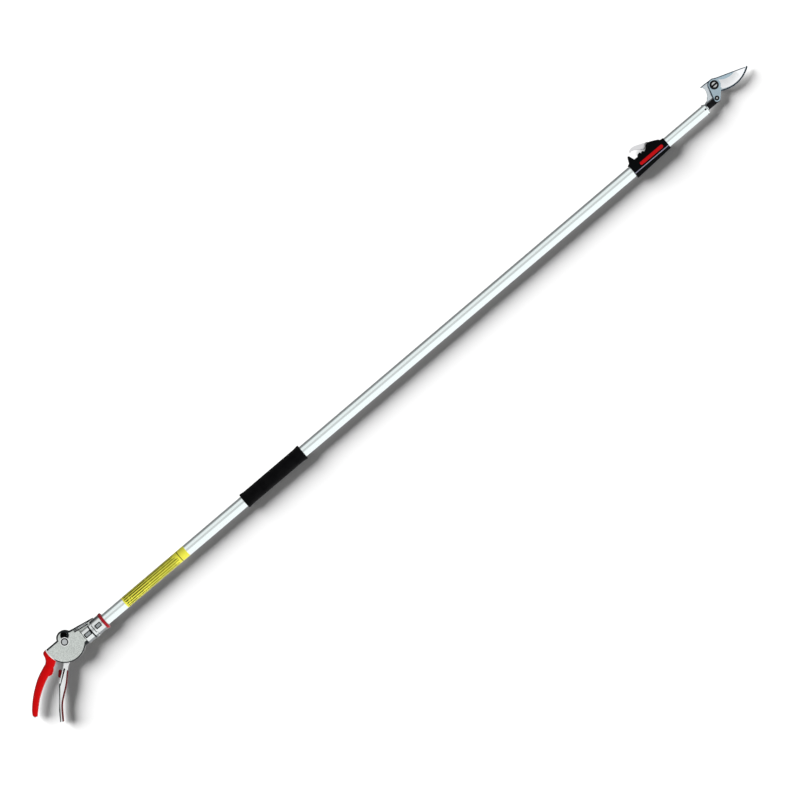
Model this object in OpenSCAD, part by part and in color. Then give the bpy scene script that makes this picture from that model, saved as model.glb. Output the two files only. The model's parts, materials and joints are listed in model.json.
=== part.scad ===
// Telescopic tree pruner pole, lying on its side as it rests on a floor.
// The pole's axis runs along X, from the handle to the cutting head. Z points up from the floor.
// All modules are drawn about the pole's axis, with X = 0 at the trigger's pivot. placed() sets them down.

/* [Pole] */
// Outside diameter of the outer tube
outer_od = 25; // [23:0.5:30]
// Wall of both tubes
tube_wall = 1.2; // [1:0.1:1.4]
// Gap between the two tubes, on each side
slide_gap = 0.3; // [0.2:0.05:0.5]
// Length of the outer tube
outer_len = 1543; // [1450:1:1700]
// Length of the inner tube
inner_len = 1444; // [1350:1:1470]
// Length of inner tube that shows past the clamp
inner_show = 110; // [80:1:200]

/* [Housing] */
// Height of the trigger's pivot above the pole's axis
pivot_h = 19.1; // [18.6:0.1:20]
// Radius of the round belly about the pivot
belly_r = 43.8; // [42.8:0.1:45]
// Half of the housing's thickness
housing_half = 14; // [13.5:0.1:16]
// Thickness of the cheeks and of the belly's wall
housing_wall = 3; // [2.4:0.1:3.2]
// Radius of the rounded rim of the cheeks
rim_r = 2.5; // [1:0.1:3]
// Radius of the dome over the trigger's finger
dome_r = 16.2; // [15.6:0.1:17]
// Half of the thickness of the arm that holds the spring
arm_half = 5.5; // [5:0.1:8]

/* [Trigger] */
// Radius of the trigger's hub
hub_r = 11.5; // [10.5:0.1:12]
// Radius of the pivot bolt's shank
bolt_r = 4; // [3:0.1:4.5]
// Wall of the bush in the hub
bush_wall = 2; // [1.5:0.1:2.5]
// Half of the trigger's width
trigger_half = 9; // [8.5:0.1:9.4]
// Thickness of the trigger's cheeks
cheek_t = 3; // [2.4:0.1:3]
// Thickness of the web that joins the cheeks
web_t = 2; // [1.4:0.1:2.4]
// Thickness of the finger pad
pad_t = 2.6; // [1.6:0.1:3]
// Half of the finger pad's width
pad_half = 7.5; // [5:0.1:8.5]

/* [Grip] */
// Half of the thickness of the steel core
core_half = 3; // [2:0.1:3.5]
// Half of the width of the steel core
core_w = 3.5; // [2.5:0.1:4]
// Half of the cover's thickness at the hilt
hilt_half = 12.5; // [10:0.1:13]
// Half of the cover's thickness at the tip
tip_half = 8; // [6:0.1:9]

/* [Rods] */
// Radius of the lower pull rod
lower_rod_r = 5.5; // [5.2:0.1:5.7]
// Wall of the lower pull rod
lower_rod_wall = 1; // [0.8:0.1:1]
// Length of the lower pull rod
lower_rod_len = 1463; // [1200:1:1500]
// Radius of the upper pull rod
upper_rod_r = 4; // [3.4:0.1:4.2]
// Length of the upper pull rod
upper_rod_len = 1345; // [1200:1:1450]
// Radius of the yoke pin and of the blade's tail pin
pin_r = 3; // [2.4:0.1:3.2]
// Room on each side of a pin in its slot
slot_gap = 0.4; // [0.3:0.05:0.6]

/* [Return spring] */
// Radius of the spring's outside
spring_r = 3.1; // [2.6:0.1:3.2]
// Diameter of the spring's wire
wire_d = 1.2; // [0.8:0.1:1.4]
// Turns of the spring
spring_turns = 13; // [8:1:15]

/* [Collars and ring] */
// Wall of the two bright collars round the tube
collar_wall = 5.3; // [4.5:0.1:5.6]
// Wall of the lip between the collars
lip_wall = 5.9; // [5:0.1:6]
// Wall of the red ring
ring_wall = 6; // [5.6:0.1:6]
// Width of the red ring
ring_w = 6; // [4:0.5:9]
// Length of the socket collar
socket_len = 26; // [25.5:0.1:28]
// Length of the lock collar
lock_len = 22.5; // [21:0.1:26]
// Depth of the teeth between the collars
tooth_d = 3; // [2:0.1:4]

/* [Label and sleeve] */
// Distance from the pivot to the label
label_x = 146.5; // [110:0.5:250]
// Length of the label
label_len = 167.5; // [60:0.5:200]
// Thickness of the label
label_t = 0.15; // [0.1:0.05:0.3]
// Distance from the pivot to the foam sleeve
sleeve_x = 471.7; // [460:0.1:1200]
// Length of the foam sleeve
sleeve_len = 159; // [80:0.5:250]
// Wall of the foam sleeve
sleeve_wall = 3.6; // [2.5:0.1:4.2]
// Extra wall at the sleeve's flared ends
sleeve_flare = 1.3; // [0.5:0.1:1.6]

/* [Clamp] */
// Length of the clamp body
clamp_len = 91; // [88:0.5:100]
// Length of outer tube inside the clamp body
clamp_hold = 38; // [30:0.5:39]
// Side wall of the clamp body, which is also its flat rest
clamp_wall = 6; // [6:0.1:7]
// Radius of the clamp lever's hub
cam_r = 6.5; // [6:0.1:6.8]
// Radius of the clamp lever's pin
lever_pin_r = 2.5; // [2:0.1:3]
// Half of the clamp lever's width
lever_half = 5.8; // [5:0.1:6]
// Height of the red inlay
inlay_h = 7.2; // [5:0.1:9]
// Length of the red inlay
inlay_len = 61; // [40:0.5:66]
// Depth of the red inlay
inlay_d = 1.2; // [0.8:0.1:1.6]

/* [Head] */
// Thickness of the counter blade
plate_t = 5; // [4.6:0.1:6]
// Thickness of the cutting blade
blade_t = 3.2; // [2.6:0.1:4]
// Width of the blade's hollow ground face
grind_w = 18; // [8:0.5:20]
// Thickness of the land along the cutting edge
land_t = 0.3; // [0.2:0.05:0.6]
// Radius of the blade's boss
boss_r = 13.8; // [12.5:0.1:14.5]
// Radius of the tail lobe
lobe_r = 7.5; // [6.5:0.1:8]
// Radius of the blade bolt's head
bolt_head_r = 9.7; // [8:0.1:11]
// Height of the blade bolt's head
bolt_head_h = 4.6; // [3:0.1:6]
// Length of the head plug inside the inner tube
plug_len = 50; // [30:0.5:80]
// Thickness of the rod end's flat bar
bar_t = 4.1; // [3:0.1:4.2]
// Radius of the head rivets
rivet_r = 2; // [1.5:0.1:2.4]

/* [Hidden] */
$fn = 96;

// Fits: seated pieces, running shafts, free gaps between moving pieces
seat = 0.02;
run = 0.05;
free = 0.4;
// Overrun of cuts past a face, and half length of holes that go right through
over = 1;
through = 60;

// Radii of the tubes
outer_r = outer_od / 2;
outer_bore_r = outer_r - tube_wall;
inner_r = outer_bore_r - slide_gap;
inner_bore_r = inner_r - tube_wall;

// Stations along the pole
tube_x0 = 24;
socket_x0 = 37.2;
outer_x1 = tube_x0 + outer_len;
clamp_x0 = outer_x1 - clamp_hold;
clamp_x1 = clamp_x0 + clamp_len;
head_x = clamp_x1 + inner_show;
inner_x0 = head_x - inner_len;
collar_r = outer_r + collar_wall;
lip_r = outer_r + lip_wall;
ring_r = outer_r + ring_wall;
axis_h = outer_r + clamp_wall;
tooth_gap = 0.3;
lock_x0 = socket_x0 + socket_len + tooth_gap;
ring_x0 = lock_x0 + lock_len + tooth_gap;

// Trigger pivot and the angles of the housing's hollow about it
pivot = [0, pivot_h];
cavity_half = housing_half - housing_wall;
cavity_r = belly_r - housing_wall;
cavity_a = [215, 318];
mouth_a = [217, 280];
hub_room_r = 17.5;
arm_room_r = 24;
arm_room_a = [205, 333];
rod_room_x0 = -12;
finger_r = 19.6;
finger_a = [8, 30];
finger_half = 4;
finger_room_a = [-2, 58];
dome_c = [3.8, pivot_h + 6.7];
back_y = pivot_h + 12.4;
boss_ring_r = 9.5;
boss_ring_h = 1;
pocket_c = [7, pivot_h + 11.4];
pocket_r = 7;
block_x0 = 18;
block_r = outer_r + 3.5;
rod_room_r = lower_rod_r + 2 * free;

// Arm of the housing, with the spring's channel from the finger to the far end
arm_floor = outer_r + 1.2;
flat_y = arm_floor - tooth_gap;
spring_a = [finger_r, pivot_h + 6.2];
channel_r = spring_r + free;
spring_b = [62, arm_floor + channel_r + 1];
window_x = [29, 61];
nose_y = collar_r + free;
arm_tip_x = 75.2;
arm_tip_y = pivot_h + 0.9;
arm_root = [21.5, pivot_h + 11.6];
arm_pts = [[12, pivot_h + 16.9], arm_root, [arm_tip_x, arm_tip_y], [arm_tip_x, nose_y], [lock_x0, nose_y],
           [lock_x0, arm_floor], [socket_x0, arm_floor], [30, 10], [10, 15]];

// Region that the belly fills: under the straight back, then a step under the arm's back
arm_k = (arm_root[0] - socket_x0) / (arm_root[0] - arm_tip_x);
back_step = 0.5;
arm_socket_y = arm_root[1] + (arm_tip_y - arm_root[1]) * arm_k - back_step;
back_pts = [[-through, -through], [socket_x0, -through], [socket_x0, arm_socket_y], arm_root,
            [dome_c[0], back_y], [-through, back_y]];

// Housing screws through the tang, from the far side
screw_pts = [[-35, pivot_h + 6], [-35, pivot_h - 11], [-26, pivot_h + 3]];
screw_r = 2;
screw_head_r = 3.6;
screw_head_h = 2.4;
screw_key_d = 1;
screw_end = 8;
tang_pts = [[-22, pivot_h + 9.5], [-22, pivot_h - 10], [-34, pivot_h - 18], [-44, pivot_h - 12],
            [-46, pivot_h + 4], [-38, pivot_h + 10]];

// Grip: pairs of points on its outer and inner edge, from the hilt to the tip
grip_outer = [[-40, 32.6], [-50.5, 30.5], [-54, 19.5], [-60, 11.5], [-70, 7.4], [-89.8, -1], [-108.5, -12.5],
              [-127.7, -27.7], [-144.8, -45], [-151.2, -55.3]];
grip_inner = [[-38, 1.5], [-44, -2.5], [-51, -6], [-57, -8.2], [-63, -10.4], [-80.4, -16.8], [-97.6, -25.4],
              [-116.6, -37.8], [-133.6, -52.7], [-144.1, -62.8]];
core_path = [[-36, 17], [-52, 11.5], [-66, 2.5], [-87, -7.5], [-105, -18.2], [-123, -32.5], [-139.5, -48.8],
             [-149.6, -60.4]];
core_taper = 0.7;
cover_sides = 20;
cover_steps = 3;
cover_square = 2.8;
grip_bumper_pts = [[-52, -3], [-55.6, -10.6], [-60, -13.4], [-65.5, -15.9], [-70.5, -15.2], [-72.4, -13.4],
                   [-69, -7]];
bumper_half = 5;

// Trigger: pairs of points on the front and the back of its lever, from the belly to the tip
lever_front = [[-14, -21], [-26, -24.6], [-34.8, -31.5], [-52.8, -49.6], [-68.8, -61.8], [-85.5, -74.9],
               [-96.8, -88.4], [-108.8, -105.6]];
lever_back = [[-21, -3.5], [-26, -8.4], [-36.3, -18.7], [-64, -38.9], [-75.9, -52.6], [-90.4, -69.7],
              [-102.6, -84], [-115, -101.7]];
arm_front = [[10, pivot_h - 3], [8.5, -9], [-2, -15.5]];
arm_back = [-11, pivot_h - 4];
pad_first = 2;
lever_steps = 4;
slot_low = 2;
void_over = 6;
hub_side_gap = 0.6;
yoke_room = 4;
yoke_low = -18;
trigger_bumper_pts = [[-45.6, -18], [-48.4, -17.6], [-57.6, -26.8], [-57.6, -29], [-55.6, -34.8],
                      [-43, -25.4]];
panel_rim = 1.6;
panel_d = 0.7;
panel_first = 2;
panel_last = 5;
slot_ends = [[-37.5, -23.8], [-66, -44.2]];
slot_r = [1.8, 0.7];

// Trigger bolt and nut
bolt_head_z = 1.2;
trigger_head_r = 5.5;
trigger_head_h = 2.7;
recess_r = 8;
nut_flat_r = 5.8;

// Rod eye and lower rod
eye_r = 6.5;
eye_half = 4.5;
lower_rod_x0 = 14;
spigot_len = 18;
pin_stand = 0.8;
yoke_pin_half = trigger_half + pin_stand;
lower_rod_bore_r = lower_rod_r - lower_rod_wall;
lower_rod_x1 = lower_rod_x0 + lower_rod_len;
rod_lock_wall = 2.5;
rod_lock_r = lower_rod_r + rod_lock_wall;
rod_lock_len = 12;
rod_lock_lip = 4;

// Bushes
guide_x = 40;
guide_len = 22;
slider_len = 12;
slider_spigot = 18;
slider_bore_r = lower_rod_r + free;

// Windows and teeth of the collars
window_h = 10;
window_d = 3;
socket_window_x = [socket_x0 + 2.5, socket_x0 + 18.5];
lock_window_x = [lock_x0 + 4.8, lock_x0 + 18.8];
lip_w = 4.6;
lip_x = socket_x0 + socket_len - lip_w;
tooth_w = 9;
neck_r = outer_r + 2;
neck_w = 1.3;
ring_edge = 1.2;

// Rounded end and lead of the sleeve's flare
sleeve_edge = 2;
sleeve_lead = 14;
sleeve_steps = 6;

// Clamp: outline of its side from the lower end, and of its section
clamp_side = [[0, -17.8], [clamp_len, -14.1], [clamp_len, 12.4], [clamp_len - 7, 12.9], [81, 16.6],
              [66, 24.4], [60, 25.8], [54.5, 24], [50, 18], [44, 15.8], [41.4, 19.6], [36.8, 16.4],
              [34.6, 20.8], [31, 20.2], [28, 16], [17.2, 16.6], [13.6, 29], [11.4, 30], [8.4, 24],
              [5.6, 17.5], [0, 14.9]];
section_low = 18;
section_low_half = 9;
flat_low = -7;
flat_high = 9;
section_top = 31;
section_top_half = 9.5;
lever_c = [59, 21];
lever_x = clamp_x0 + lever_c[0];
lever_pts = [[62, 27.4], [57, 29.2], [48, 33], [36, 38], [29.5, 39.3], [24, 38], [20.2, 34.9], [21.5, 32.6],
             [25.6, 33.4], [30, 32], [38, 27], [46, 19.6], [55, 16]];
slot_floor = lever_c[1] - cam_r - free;
lever_slot = [[39, through], [39, 18], [47, slot_floor], [67.5, slot_floor], [71, through]];
slot_half = lever_half + free;
pad_x = [49, 67];
lever_pin_half = 10;
inlay_x = 20;
inlay_y = 1;

// Head, in the frame of the inner tube's end
blade_c = [43.6, 27.4];
tail_c = [30.3, 2.7];
horn_tip = [18.1, 41.7];
hook_tip = [121.4, 13];
hook_out_c = [81.4, 70.9];
hook_out_r = 72;
hook_in_c = [90, 66];
hook_in_r = 59.5;
hook_in_a = [229, 301];
hook_out_a = [303.4, 240.5];
edge_c = [83, 57.4];
edge_r = 55.3;
edge_a = [309, 233.5];
shank_y = 9.6;
plate_left = [[10.8, 10.6], [15.6, 15.6], [19.6, 21.4], [22.6, 27.6], [23.6, 33.2], [22, 38], [19, 40.8]];
plate_top = [[20, 42.1], [30, 42], [blade_c[0] - 2, 41.2]];
plate_boss_r = 13.6;
plate_boss_a = [85, -20];
plate_x0 = 9.8;
plate_x1 = 42;
spine_pts = [[48, 41], [55.4, 36.9], [82, 27.3], [110, 17.2]];
wing_root = [50, 14];
tail_left = [[29.9, 29], [25.5, 16.6], [22.9, 5]];
tail_right = [[36, -2], [45, 7.5], [52, 13]];
blade_z0 = 0.1;
plate_z0 = -plate_t;
blade_z1 = blade_z0 + blade_t;
bolt_shank_r = 4;
bolt_end = 1;
crown_r = 1.4;
button_r = 6.4;
button_h = 1.4;
driver_w = 2.4;
washer_r = 10;
washer_t = 1.4;
nut_h = 5.5;
blade_nut_r = 7.5;
bar_z1 = -0.45;
bar_x0 = 3.5;
bar_low = -5.6;
bar_high = 7;
eye_up = 0.8;
eye_down = 3;
eye_wall = 2;
rod_socket_r = 5.7;
rod_socket_len = 12.5;
rod_seat_len = 10.5;
bar_root = 2;
tail_head_r = 5;
tail_head_h = 2;
dimple_r = 1.8;
dimple_d = 0.6;
plug_end = 1.5;
tongue_z0 = -10;
tongue_pts = [[0, -6], [0, 8], [5, 10.2], [11.5, 11.8], [17.2, 18], [26, 18], [26, -4]];
plate_rivet_pts = [[17.5, 13.4], [23, 13.4]];
plate_rivet_r = 1.8;
rivet_x = -3.5;
rivet_head = 1;
rivet_root_r = upper_rod_r + 1;

// Middle of the whole tool in plan, from its outermost points
grip_tip_x = min([for (p = core_outline(0)) p[0]]);
trigger_tip_y = lever_front[len(lever_front) - 1][1];
mid_x = (grip_tip_x + head_x + hook_tip[0]) / 2;
mid_y = (trigger_tip_y + plate_top[0][1]) / 2;

// Points of an arc from one angle to another
function arc_pts(c, r, a, n = 24) = [for (i = [0:n]) c + r * [cos(a[0] + (a[1] - a[0]) * i / n),
                                                           sin(a[0] + (a[1] - a[0]) * i / n)]];

// Smooth curve through points, with n steps between each two
function curve_at(a, b, c, d, t) = 0.5 * (2 * b + (c - a) * t + (2 * a - 5 * b + 4 * c - d) * t * t
                                          + (3 * b - a - 3 * c + d) * t * t * t);
function curve(p, n) = concat([for (i = [0:len(p) - 2]) for (j = [0:n - 1])
    curve_at(p[max(i - 1, 0)], p[i], p[i + 1], p[min(i + 2, len(p) - 1)], j / n)], [p[len(p) - 1]]);
function reversed(p) = [for (i = [len(p) - 1:-1:0]) p[i]];
function unit(v) = v / norm(v);
function part_of(p, first, last) = [for (i = [first:last]) p[i]];
function tail_of(p, first) = part_of(p, first, len(p) - 1);

// Points moved a distance from one edge of a strip towards the other
function inset(from, to, d) = [for (i = [0:len(from) - 1]) from[i] + d * unit(to[i] - from[i])];

// Direction of a path at one of its points, and the path moved sideways
function heading(p, i) = unit(p[min(i + 1, len(p) - 1)] - p[max(i - 1, 0)]);
function beside(p, w, last) = [for (i = [0:len(p) - 1]) let (h = heading(p, i), k = i / (len(p) - 1))
    p[i] + w * (1 - k + last * k) * [-h[1], h[0]]];

// Triangles of a closed skin over rings of s points
function skin(n, s) = concat(
    [for (i = [0:n - 2]) for (j = [0:s - 1]) [i * s + j, (i + 1) * s + (j + 1) % s, i * s + (j + 1) % s]],
    [for (i = [0:n - 2]) for (j = [0:s - 1]) [i * s + j, (i + 1) * s + j, (i + 1) * s + (j + 1) % s]],
    [for (j = [1:s - 2]) [0, j, j + 1]],
    [for (j = [1:s - 2]) [(n - 1) * s, (n - 1) * s + j + 1, (n - 1) * s + j]]);

module placed() {
    translate([-mid_x, -mid_y, axis_h]) children();
}

// The head's pieces are drawn from the end of the inner tube, the clamp's from its lower end
module at_head() {
    translate([head_x, 0, 0]) children();
}

module at_clamp() {
    translate([clamp_x0, 0, 0]) children();
}

module slab(z0, z1, pts) {
    translate([0, 0, z0]) linear_extrude(z1 - z0) polygon(pts);
}

module disc(c, r, z0, z1) {
    translate([c[0], c[1], z0]) cylinder(h = z1 - z0, r = r);
}

module hole(c, r) {
    disc(c, r, -through, through);
}

module along_x(x0, x1, r) {
    translate([x0, 0, 0]) rotate([0, 90, 0]) cylinder(h = x1 - x0, r = r);
}

module pipe(x0, x1, r_out, r_in) {
    difference() {
        along_x(x0, x1, r_out);
        along_x(x0 - over, x1 + over, r_in);
    }
}

module hexagon(c, r, z0, z1) {
    translate([c[0], c[1], z0]) cylinder(h = z1 - z0, r = r, $fn = 6);
}

module sector(c, r, a, z0, z1) {
    slab(z0, z1, concat([c], arc_pts(c, r, a, 40)));
}

// Disc with rounded rims, turned about Z
module round_disc(c, r, half, e) {
    rim_hi = arc_pts([r - e, half - e], e, [0, 90], 5);
    rim_lo = arc_pts([r - e, e - half], e, [-90, 0], 5);
    translate([c[0], c[1], 0]) rotate_extrude() polygon(concat([[0, -half]], rim_lo, rim_hi, [[0, half]]));
}

module outer_tube() {
    color("silver") pipe(tube_x0, outer_x1, outer_r, outer_bore_r);
}

module inner_tube() {
    color("silver") difference() {
        pipe(inner_x0, head_x, inner_r, inner_bore_r);
        at_head() rivet_row(rivet_r + seat);
    }
}

// Four holes or shanks round the end of the inner tube
module rivet_row(r) {
    for (a = [0:90:270])
        translate([rivet_x, 0, 0]) rotate([a, 0, 0]) cylinder(h = inner_r + over, r = r);
}

// Both shells of the housing as one block, before they are parted
module housing_block() {
    intersection() {
        round_disc(pivot, belly_r, housing_half, rim_r);
        slab(-through, through, back_pts);
    }
    round_disc(dome_c, dome_r, housing_half, rim_r);
    slab(-arm_half, arm_half, arm_pts);
    intersection() {
        along_x(block_x0, socket_x0, block_r);
        half_space(-housing_half, housing_half);
    }
    disc(pivot, boss_ring_r, -housing_half - boss_ring_h, housing_half + boss_ring_h);
}

module housing_hollow() {
    sector(pivot, cavity_r, cavity_a, -cavity_half, cavity_half);
    disc(pivot, hub_room_r, -cavity_half, cavity_half);
    sector(pivot, arm_room_r, arm_room_a, -cavity_half, cavity_half);
    disc(dome_c, dome_r - housing_wall, -cavity_half, cavity_half);
    sector(pivot, finger_r + 2 * over, finger_room_a, -finger_half - free, finger_half + free);
    sector(pivot, belly_r + over, mouth_a, -trigger_half - free, trigger_half + free);
    along_x(rod_room_x0, tube_x0 + over, rod_room_r);
    along_x(tube_x0, socket_x0 + over, outer_r + seat);
    slab(-core_half - seat, core_half + seat, tang_pts);
    spring_channel();
    hole(pivot, bolt_r + seat);
    for (s = [0, 1])
        mirror([0, 0, s]) disc(pivot, recess_r, housing_half - bolt_head_z, through);
}

// Round channel of the return spring, open to the near side
module spring_channel() {
    run_v = spring_b - spring_a;
    span = norm(run_v);
    turn = atan2(run_v[1], run_v[0]);
    translate([spring_a[0], spring_a[1], 0]) rotate([0, 0, turn]) {
        rotate([0, 90, 0]) cylinder(h = span, r = channel_r);
        translate([window_x[0] - spring_a[0], -channel_r, 0])
            cube([window_x[1] - window_x[0], 2 * channel_r, 2 * housing_half]);
    }
}

// All that lies between two heights
module half_space(z0, z1) {
    slab(z0, z1, [[-2 * through, -2 * through], [2 * through, -2 * through], [2 * through, 2 * through],
                  [-2 * through, 2 * through]]);
}

module housing_near() {
    color("gainsboro") difference() {
        intersection() {
            housing_block();
            half_space(0, through);
        }
        housing_hollow();
        difference() {
            disc(pocket_c, pocket_r, cavity_half - over, through);
            disc(pivot, boss_ring_r, 0, through);
        }
        for (p = screw_pts) disc(p, screw_r + seat, -over, screw_end);
    }
}

module housing_far() {
    color("gainsboro") difference() {
        intersection() {
            housing_block();
            half_space(-through, 0);
        }
        housing_hollow();
        for (p = screw_pts) {
            hole(p, screw_r + seat);
            disc(p, screw_head_r + seat, -through, screw_head_h - housing_half);
        }
    }
}

module housing_screws() {
    color("dimgray") for (p = screw_pts) {
        disc(p, screw_r, -housing_half + screw_key_d, screw_end - free);
        difference() {
            disc(p, screw_head_r, -housing_half, screw_head_h - housing_half);
            hexagon(p, screw_r, -housing_half - over, -housing_half + screw_key_d);
        }
    }
}

// Outline of the steel core, grown by g
function core_outline(g) = let (p = curve(core_path, 3))
    concat(beside(p, core_w + g, core_taper), reversed(beside(p, -core_w - g, core_taper)));

module grip_core() {
    color("darkgray") difference() {
        union() {
            slab(-core_half, core_half, tang_pts);
            slab(-core_half, core_half, core_outline(0));
        }
        for (p = screw_pts) hole(p, screw_r + seat);
    }
}

// Soft square section between an outer and an inner edge point, repeated down the grip
module cover_skin() {
    outer = curve(grip_outer, cover_steps);
    inner = curve(grip_inner, cover_steps);
    n = len(outer);
    bend = 2 / cover_square;
    pts = [for (i = [0:n - 1]) for (j = [0:cover_sides - 1])
        let (a = 360 * j / cover_sides, k = i / (n - 1), half = hilt_half * (1 - k) + tip_half * k,
             mid = (outer[i] + inner[i]) / 2, w = (outer[i] - inner[i]) / 2,
             u = sign(cos(a)) * pow(abs(cos(a)), bend), v = sign(sin(a)) * pow(abs(sin(a)), bend))
        [mid[0] + w[0] * u, mid[1] + w[1] * u, half * v]];
    polyhedron(pts, skin(n, cover_sides));
}

module grip_cover() {
    color("red") difference() {
        cover_skin();
        slab(-core_half - seat, core_half + seat, core_outline(seat));
        slab(-core_half - seat, core_half + seat, tang_pts);
        hole(pivot, belly_r + seat);
        slab(-bumper_half - seat, bumper_half + seat, grip_bumper_pts);
    }
}

module grip_bumper() {
    color("firebrick") difference() {
        slab(-bumper_half, bumper_half, grip_bumper_pts);
        slab(-core_half - seat, core_half + seat, core_outline(seat));
        hole(pivot, belly_r + seat);
    }
}

metal_front = inset(lever_front, lever_back, pad_t);
web_back = inset(metal_front, lever_back, web_t);
void_back = inset(lever_back, lever_front, -void_over);

module trigger() {
    void_half = trigger_half - cheek_t;
    arm = concat(arm_front, [metal_front[0], lever_back[0]], [arm_back]);
    color("whitesmoke") difference() {
        union() {
            difference() {
                union() {
                    slab(-trigger_half, trigger_half, arm);
                    slab(-trigger_half, trigger_half,
                         concat(curve(metal_front, lever_steps), reversed(curve(lever_back, lever_steps))));
                    disc(pivot, hub_r, -trigger_half, trigger_half);
                }
                slab(-void_half, void_half,
                     concat(curve(web_back, lever_steps), reversed(curve(void_back, lever_steps))));
                slab(-void_half, void_half,
                     [[hub_r + yoke_room, pivot_h], [hub_r + yoke_room, yoke_low], [0, yoke_low], web_back[0],
                      void_back[0], [void_back[0][0], pivot_h]]);
            }
            disc(pivot, hub_r, -cavity_half + hub_side_gap, cavity_half - hub_side_gap);
            sector(pivot, finger_r, finger_a, -finger_half, finger_half);
        }
        hole(pivot, bolt_r + bush_wall + seat);
        yoke_slot();
        for (s = [0, 1]) mirror([0, 0, s]) cheek_panel();
        cheek_slot();
    }
}

// Tapered slot through the near cheek
module cheek_slot() {
    way = unit(slot_ends[1] - slot_ends[0]);
    side = [-way[1], way[0]];
    for (i = [0, 1]) disc(slot_ends[i], slot_r[i], 0, through);
    slab(0, through, [slot_ends[0] + slot_r[0] * side, slot_ends[1] + slot_r[1] * side,
                      slot_ends[1] - slot_r[1] * side, slot_ends[0] - slot_r[0] * side]);
}

// Shallow panel in a cheek of the lever, within a rim
module cheek_panel() {
    front = part_of(inset(metal_front, lever_back, panel_rim), panel_first, panel_last);
    back = part_of(inset(lever_back, lever_front, panel_rim), panel_first, panel_last);
    slab(trigger_half - panel_d, trigger_half + over,
         concat(curve(front, lever_steps), reversed(curve(back, lever_steps))));
}

// Slot of the yoke pin in both cheeks, along the line from the pivot
module yoke_slot() {
    r = pin_r + slot_gap;
    hole([0, 0], r);
    hole([0, -slot_low], r);
    slab(-through, through, [[-r, 0], [-r, -slot_low], [r, -slot_low], [r, 0]]);
}

module trigger_bush() {
    color("peru") difference() {
        disc(pivot, bolt_r + bush_wall, -cavity_half + free, cavity_half - free);
        hole(pivot, bolt_r + run);
    }
}

module trigger_bolt() {
    color("silver") {
        disc(pivot, bolt_r, -housing_half - boss_ring_h, housing_half);
        disc(pivot, trigger_head_r, housing_half - bolt_head_z, housing_half - bolt_head_z + trigger_head_h);
    }
}

module trigger_nut() {
    color("dimgray") difference() {
        hexagon(pivot, nut_flat_r, -housing_half - boss_ring_h, -housing_half + bolt_head_z);
        hole(pivot, bolt_r + seat);
    }
}

module finger_pad() {
    front = curve(tail_of(lever_front, pad_first), lever_steps);
    back = curve(tail_of(metal_front, pad_first), lever_steps);
    color("darkred") slab(-pad_half, pad_half, concat(front, reversed(back)));
}

module trigger_bumper() {
    void_half = trigger_half - cheek_t;
    web = curve(web_back, lever_steps);
    back = curve(inset(lever_front, lever_back, -over), lever_steps);
    color("darkred") difference() {
        slab(-void_half, void_half, trigger_bumper_pts);
        slab(-trigger_half, trigger_half, concat(web, reversed(back)));
    }
}

// Return spring: one wire wound from the trigger's finger to the channel's end
spring_rings = 8;
spring_sides = 6;
spring_end_gap = 0.3;
spring_mean = spring_r - wire_d / 2;
spring_dir = unit(spring_b - spring_a);
spring_start = spring_a + spring_end_gap * spring_dir;
spring_free = norm(spring_b - spring_a) - 2 * spring_end_gap - 2 * wire_d;
spring_count = spring_turns * spring_rings;
function wire_at(i) = let (k = min(max(i - 1, 0), spring_count), a = 360 * k / spring_rings,
    s = i == 0 ? 0
        : i == spring_count + 2 ? spring_free + 2 * wire_d : wire_d + spring_free * k / spring_count,
    u = spring_mean * cos(a), v = spring_mean * sin(a))
    [spring_start[0] + spring_dir[0] * s - spring_dir[1] * u, spring_start[1] + spring_dir[1] * s
     + spring_dir[0] * u, v];
spring_path = [for (i = [0:spring_count + 2]) wire_at(i)];
spring_gap = min([for (i = [1:spring_count - spring_rings]) for (j = [i + 5:min(i + 12, spring_count + 1)])
                  norm(spring_path[i] - spring_path[j])]) - wire_d;
echo(least_gap_of_return_spring = spring_gap);

module return_spring() {
    last = len(spring_path) - 1;
    axis = [spring_dir[0], spring_dir[1], 0];
    pts = [for (i = [0:last]) for (j = [0:spring_sides - 1])
        let (h = i == 0 || i == last ? axis : unit(spring_path[i + 1] - spring_path[i - 1]),
             n1 = unit(cross(h, cross(axis, [0, 0, 1]) + 0.01 * axis)), n2 = cross(h, n1),
             a = 360 * j / spring_sides)
        spring_path[i] + wire_d / 2 * (n1 * cos(a) + n2 * sin(a))];
    color("slategray") polyhedron(pts, skin(last + 1, spring_sides));
}

module rod_eye() {
    color("dimgray") difference() {
        union() {
            disc([0, 0], eye_r, -eye_half, eye_half);
            intersection() {
                along_x(0, lower_rod_x0, lower_rod_r);
                translate([0, -eye_r, -eye_half]) cube([lower_rod_x0, 2 * eye_r, 2 * eye_half]);
            }
            along_x(lower_rod_x0 - over, lower_rod_x0 + spigot_len, lower_rod_bore_r - seat);
        }
        hole([0, 0], pin_r + seat);
    }
}

module yoke_pin() {
    color("silver") disc([0, 0], pin_r, -yoke_pin_half, yoke_pin_half);
}

module lower_rod() {
    color("lightgray") pipe(lower_rod_x0, lower_rod_x1, lower_rod_r, lower_rod_bore_r);
}

module rod_lock() {
    color("goldenrod") difference() {
        along_x(lower_rod_x1 - rod_lock_len, lower_rod_x1 + rod_lock_lip, rod_lock_r);
        along_x(lower_rod_x1 - rod_lock_len - over, lower_rod_x1, lower_rod_r + seat);
        along_x(lower_rod_x1 - over, lower_rod_x1 + rod_lock_lip + over, upper_rod_r + run);
    }
}

module guide_bush() {
    color("ivory") pipe(guide_x, guide_x + guide_len, outer_bore_r - seat, lower_rod_r + run);
}

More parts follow.
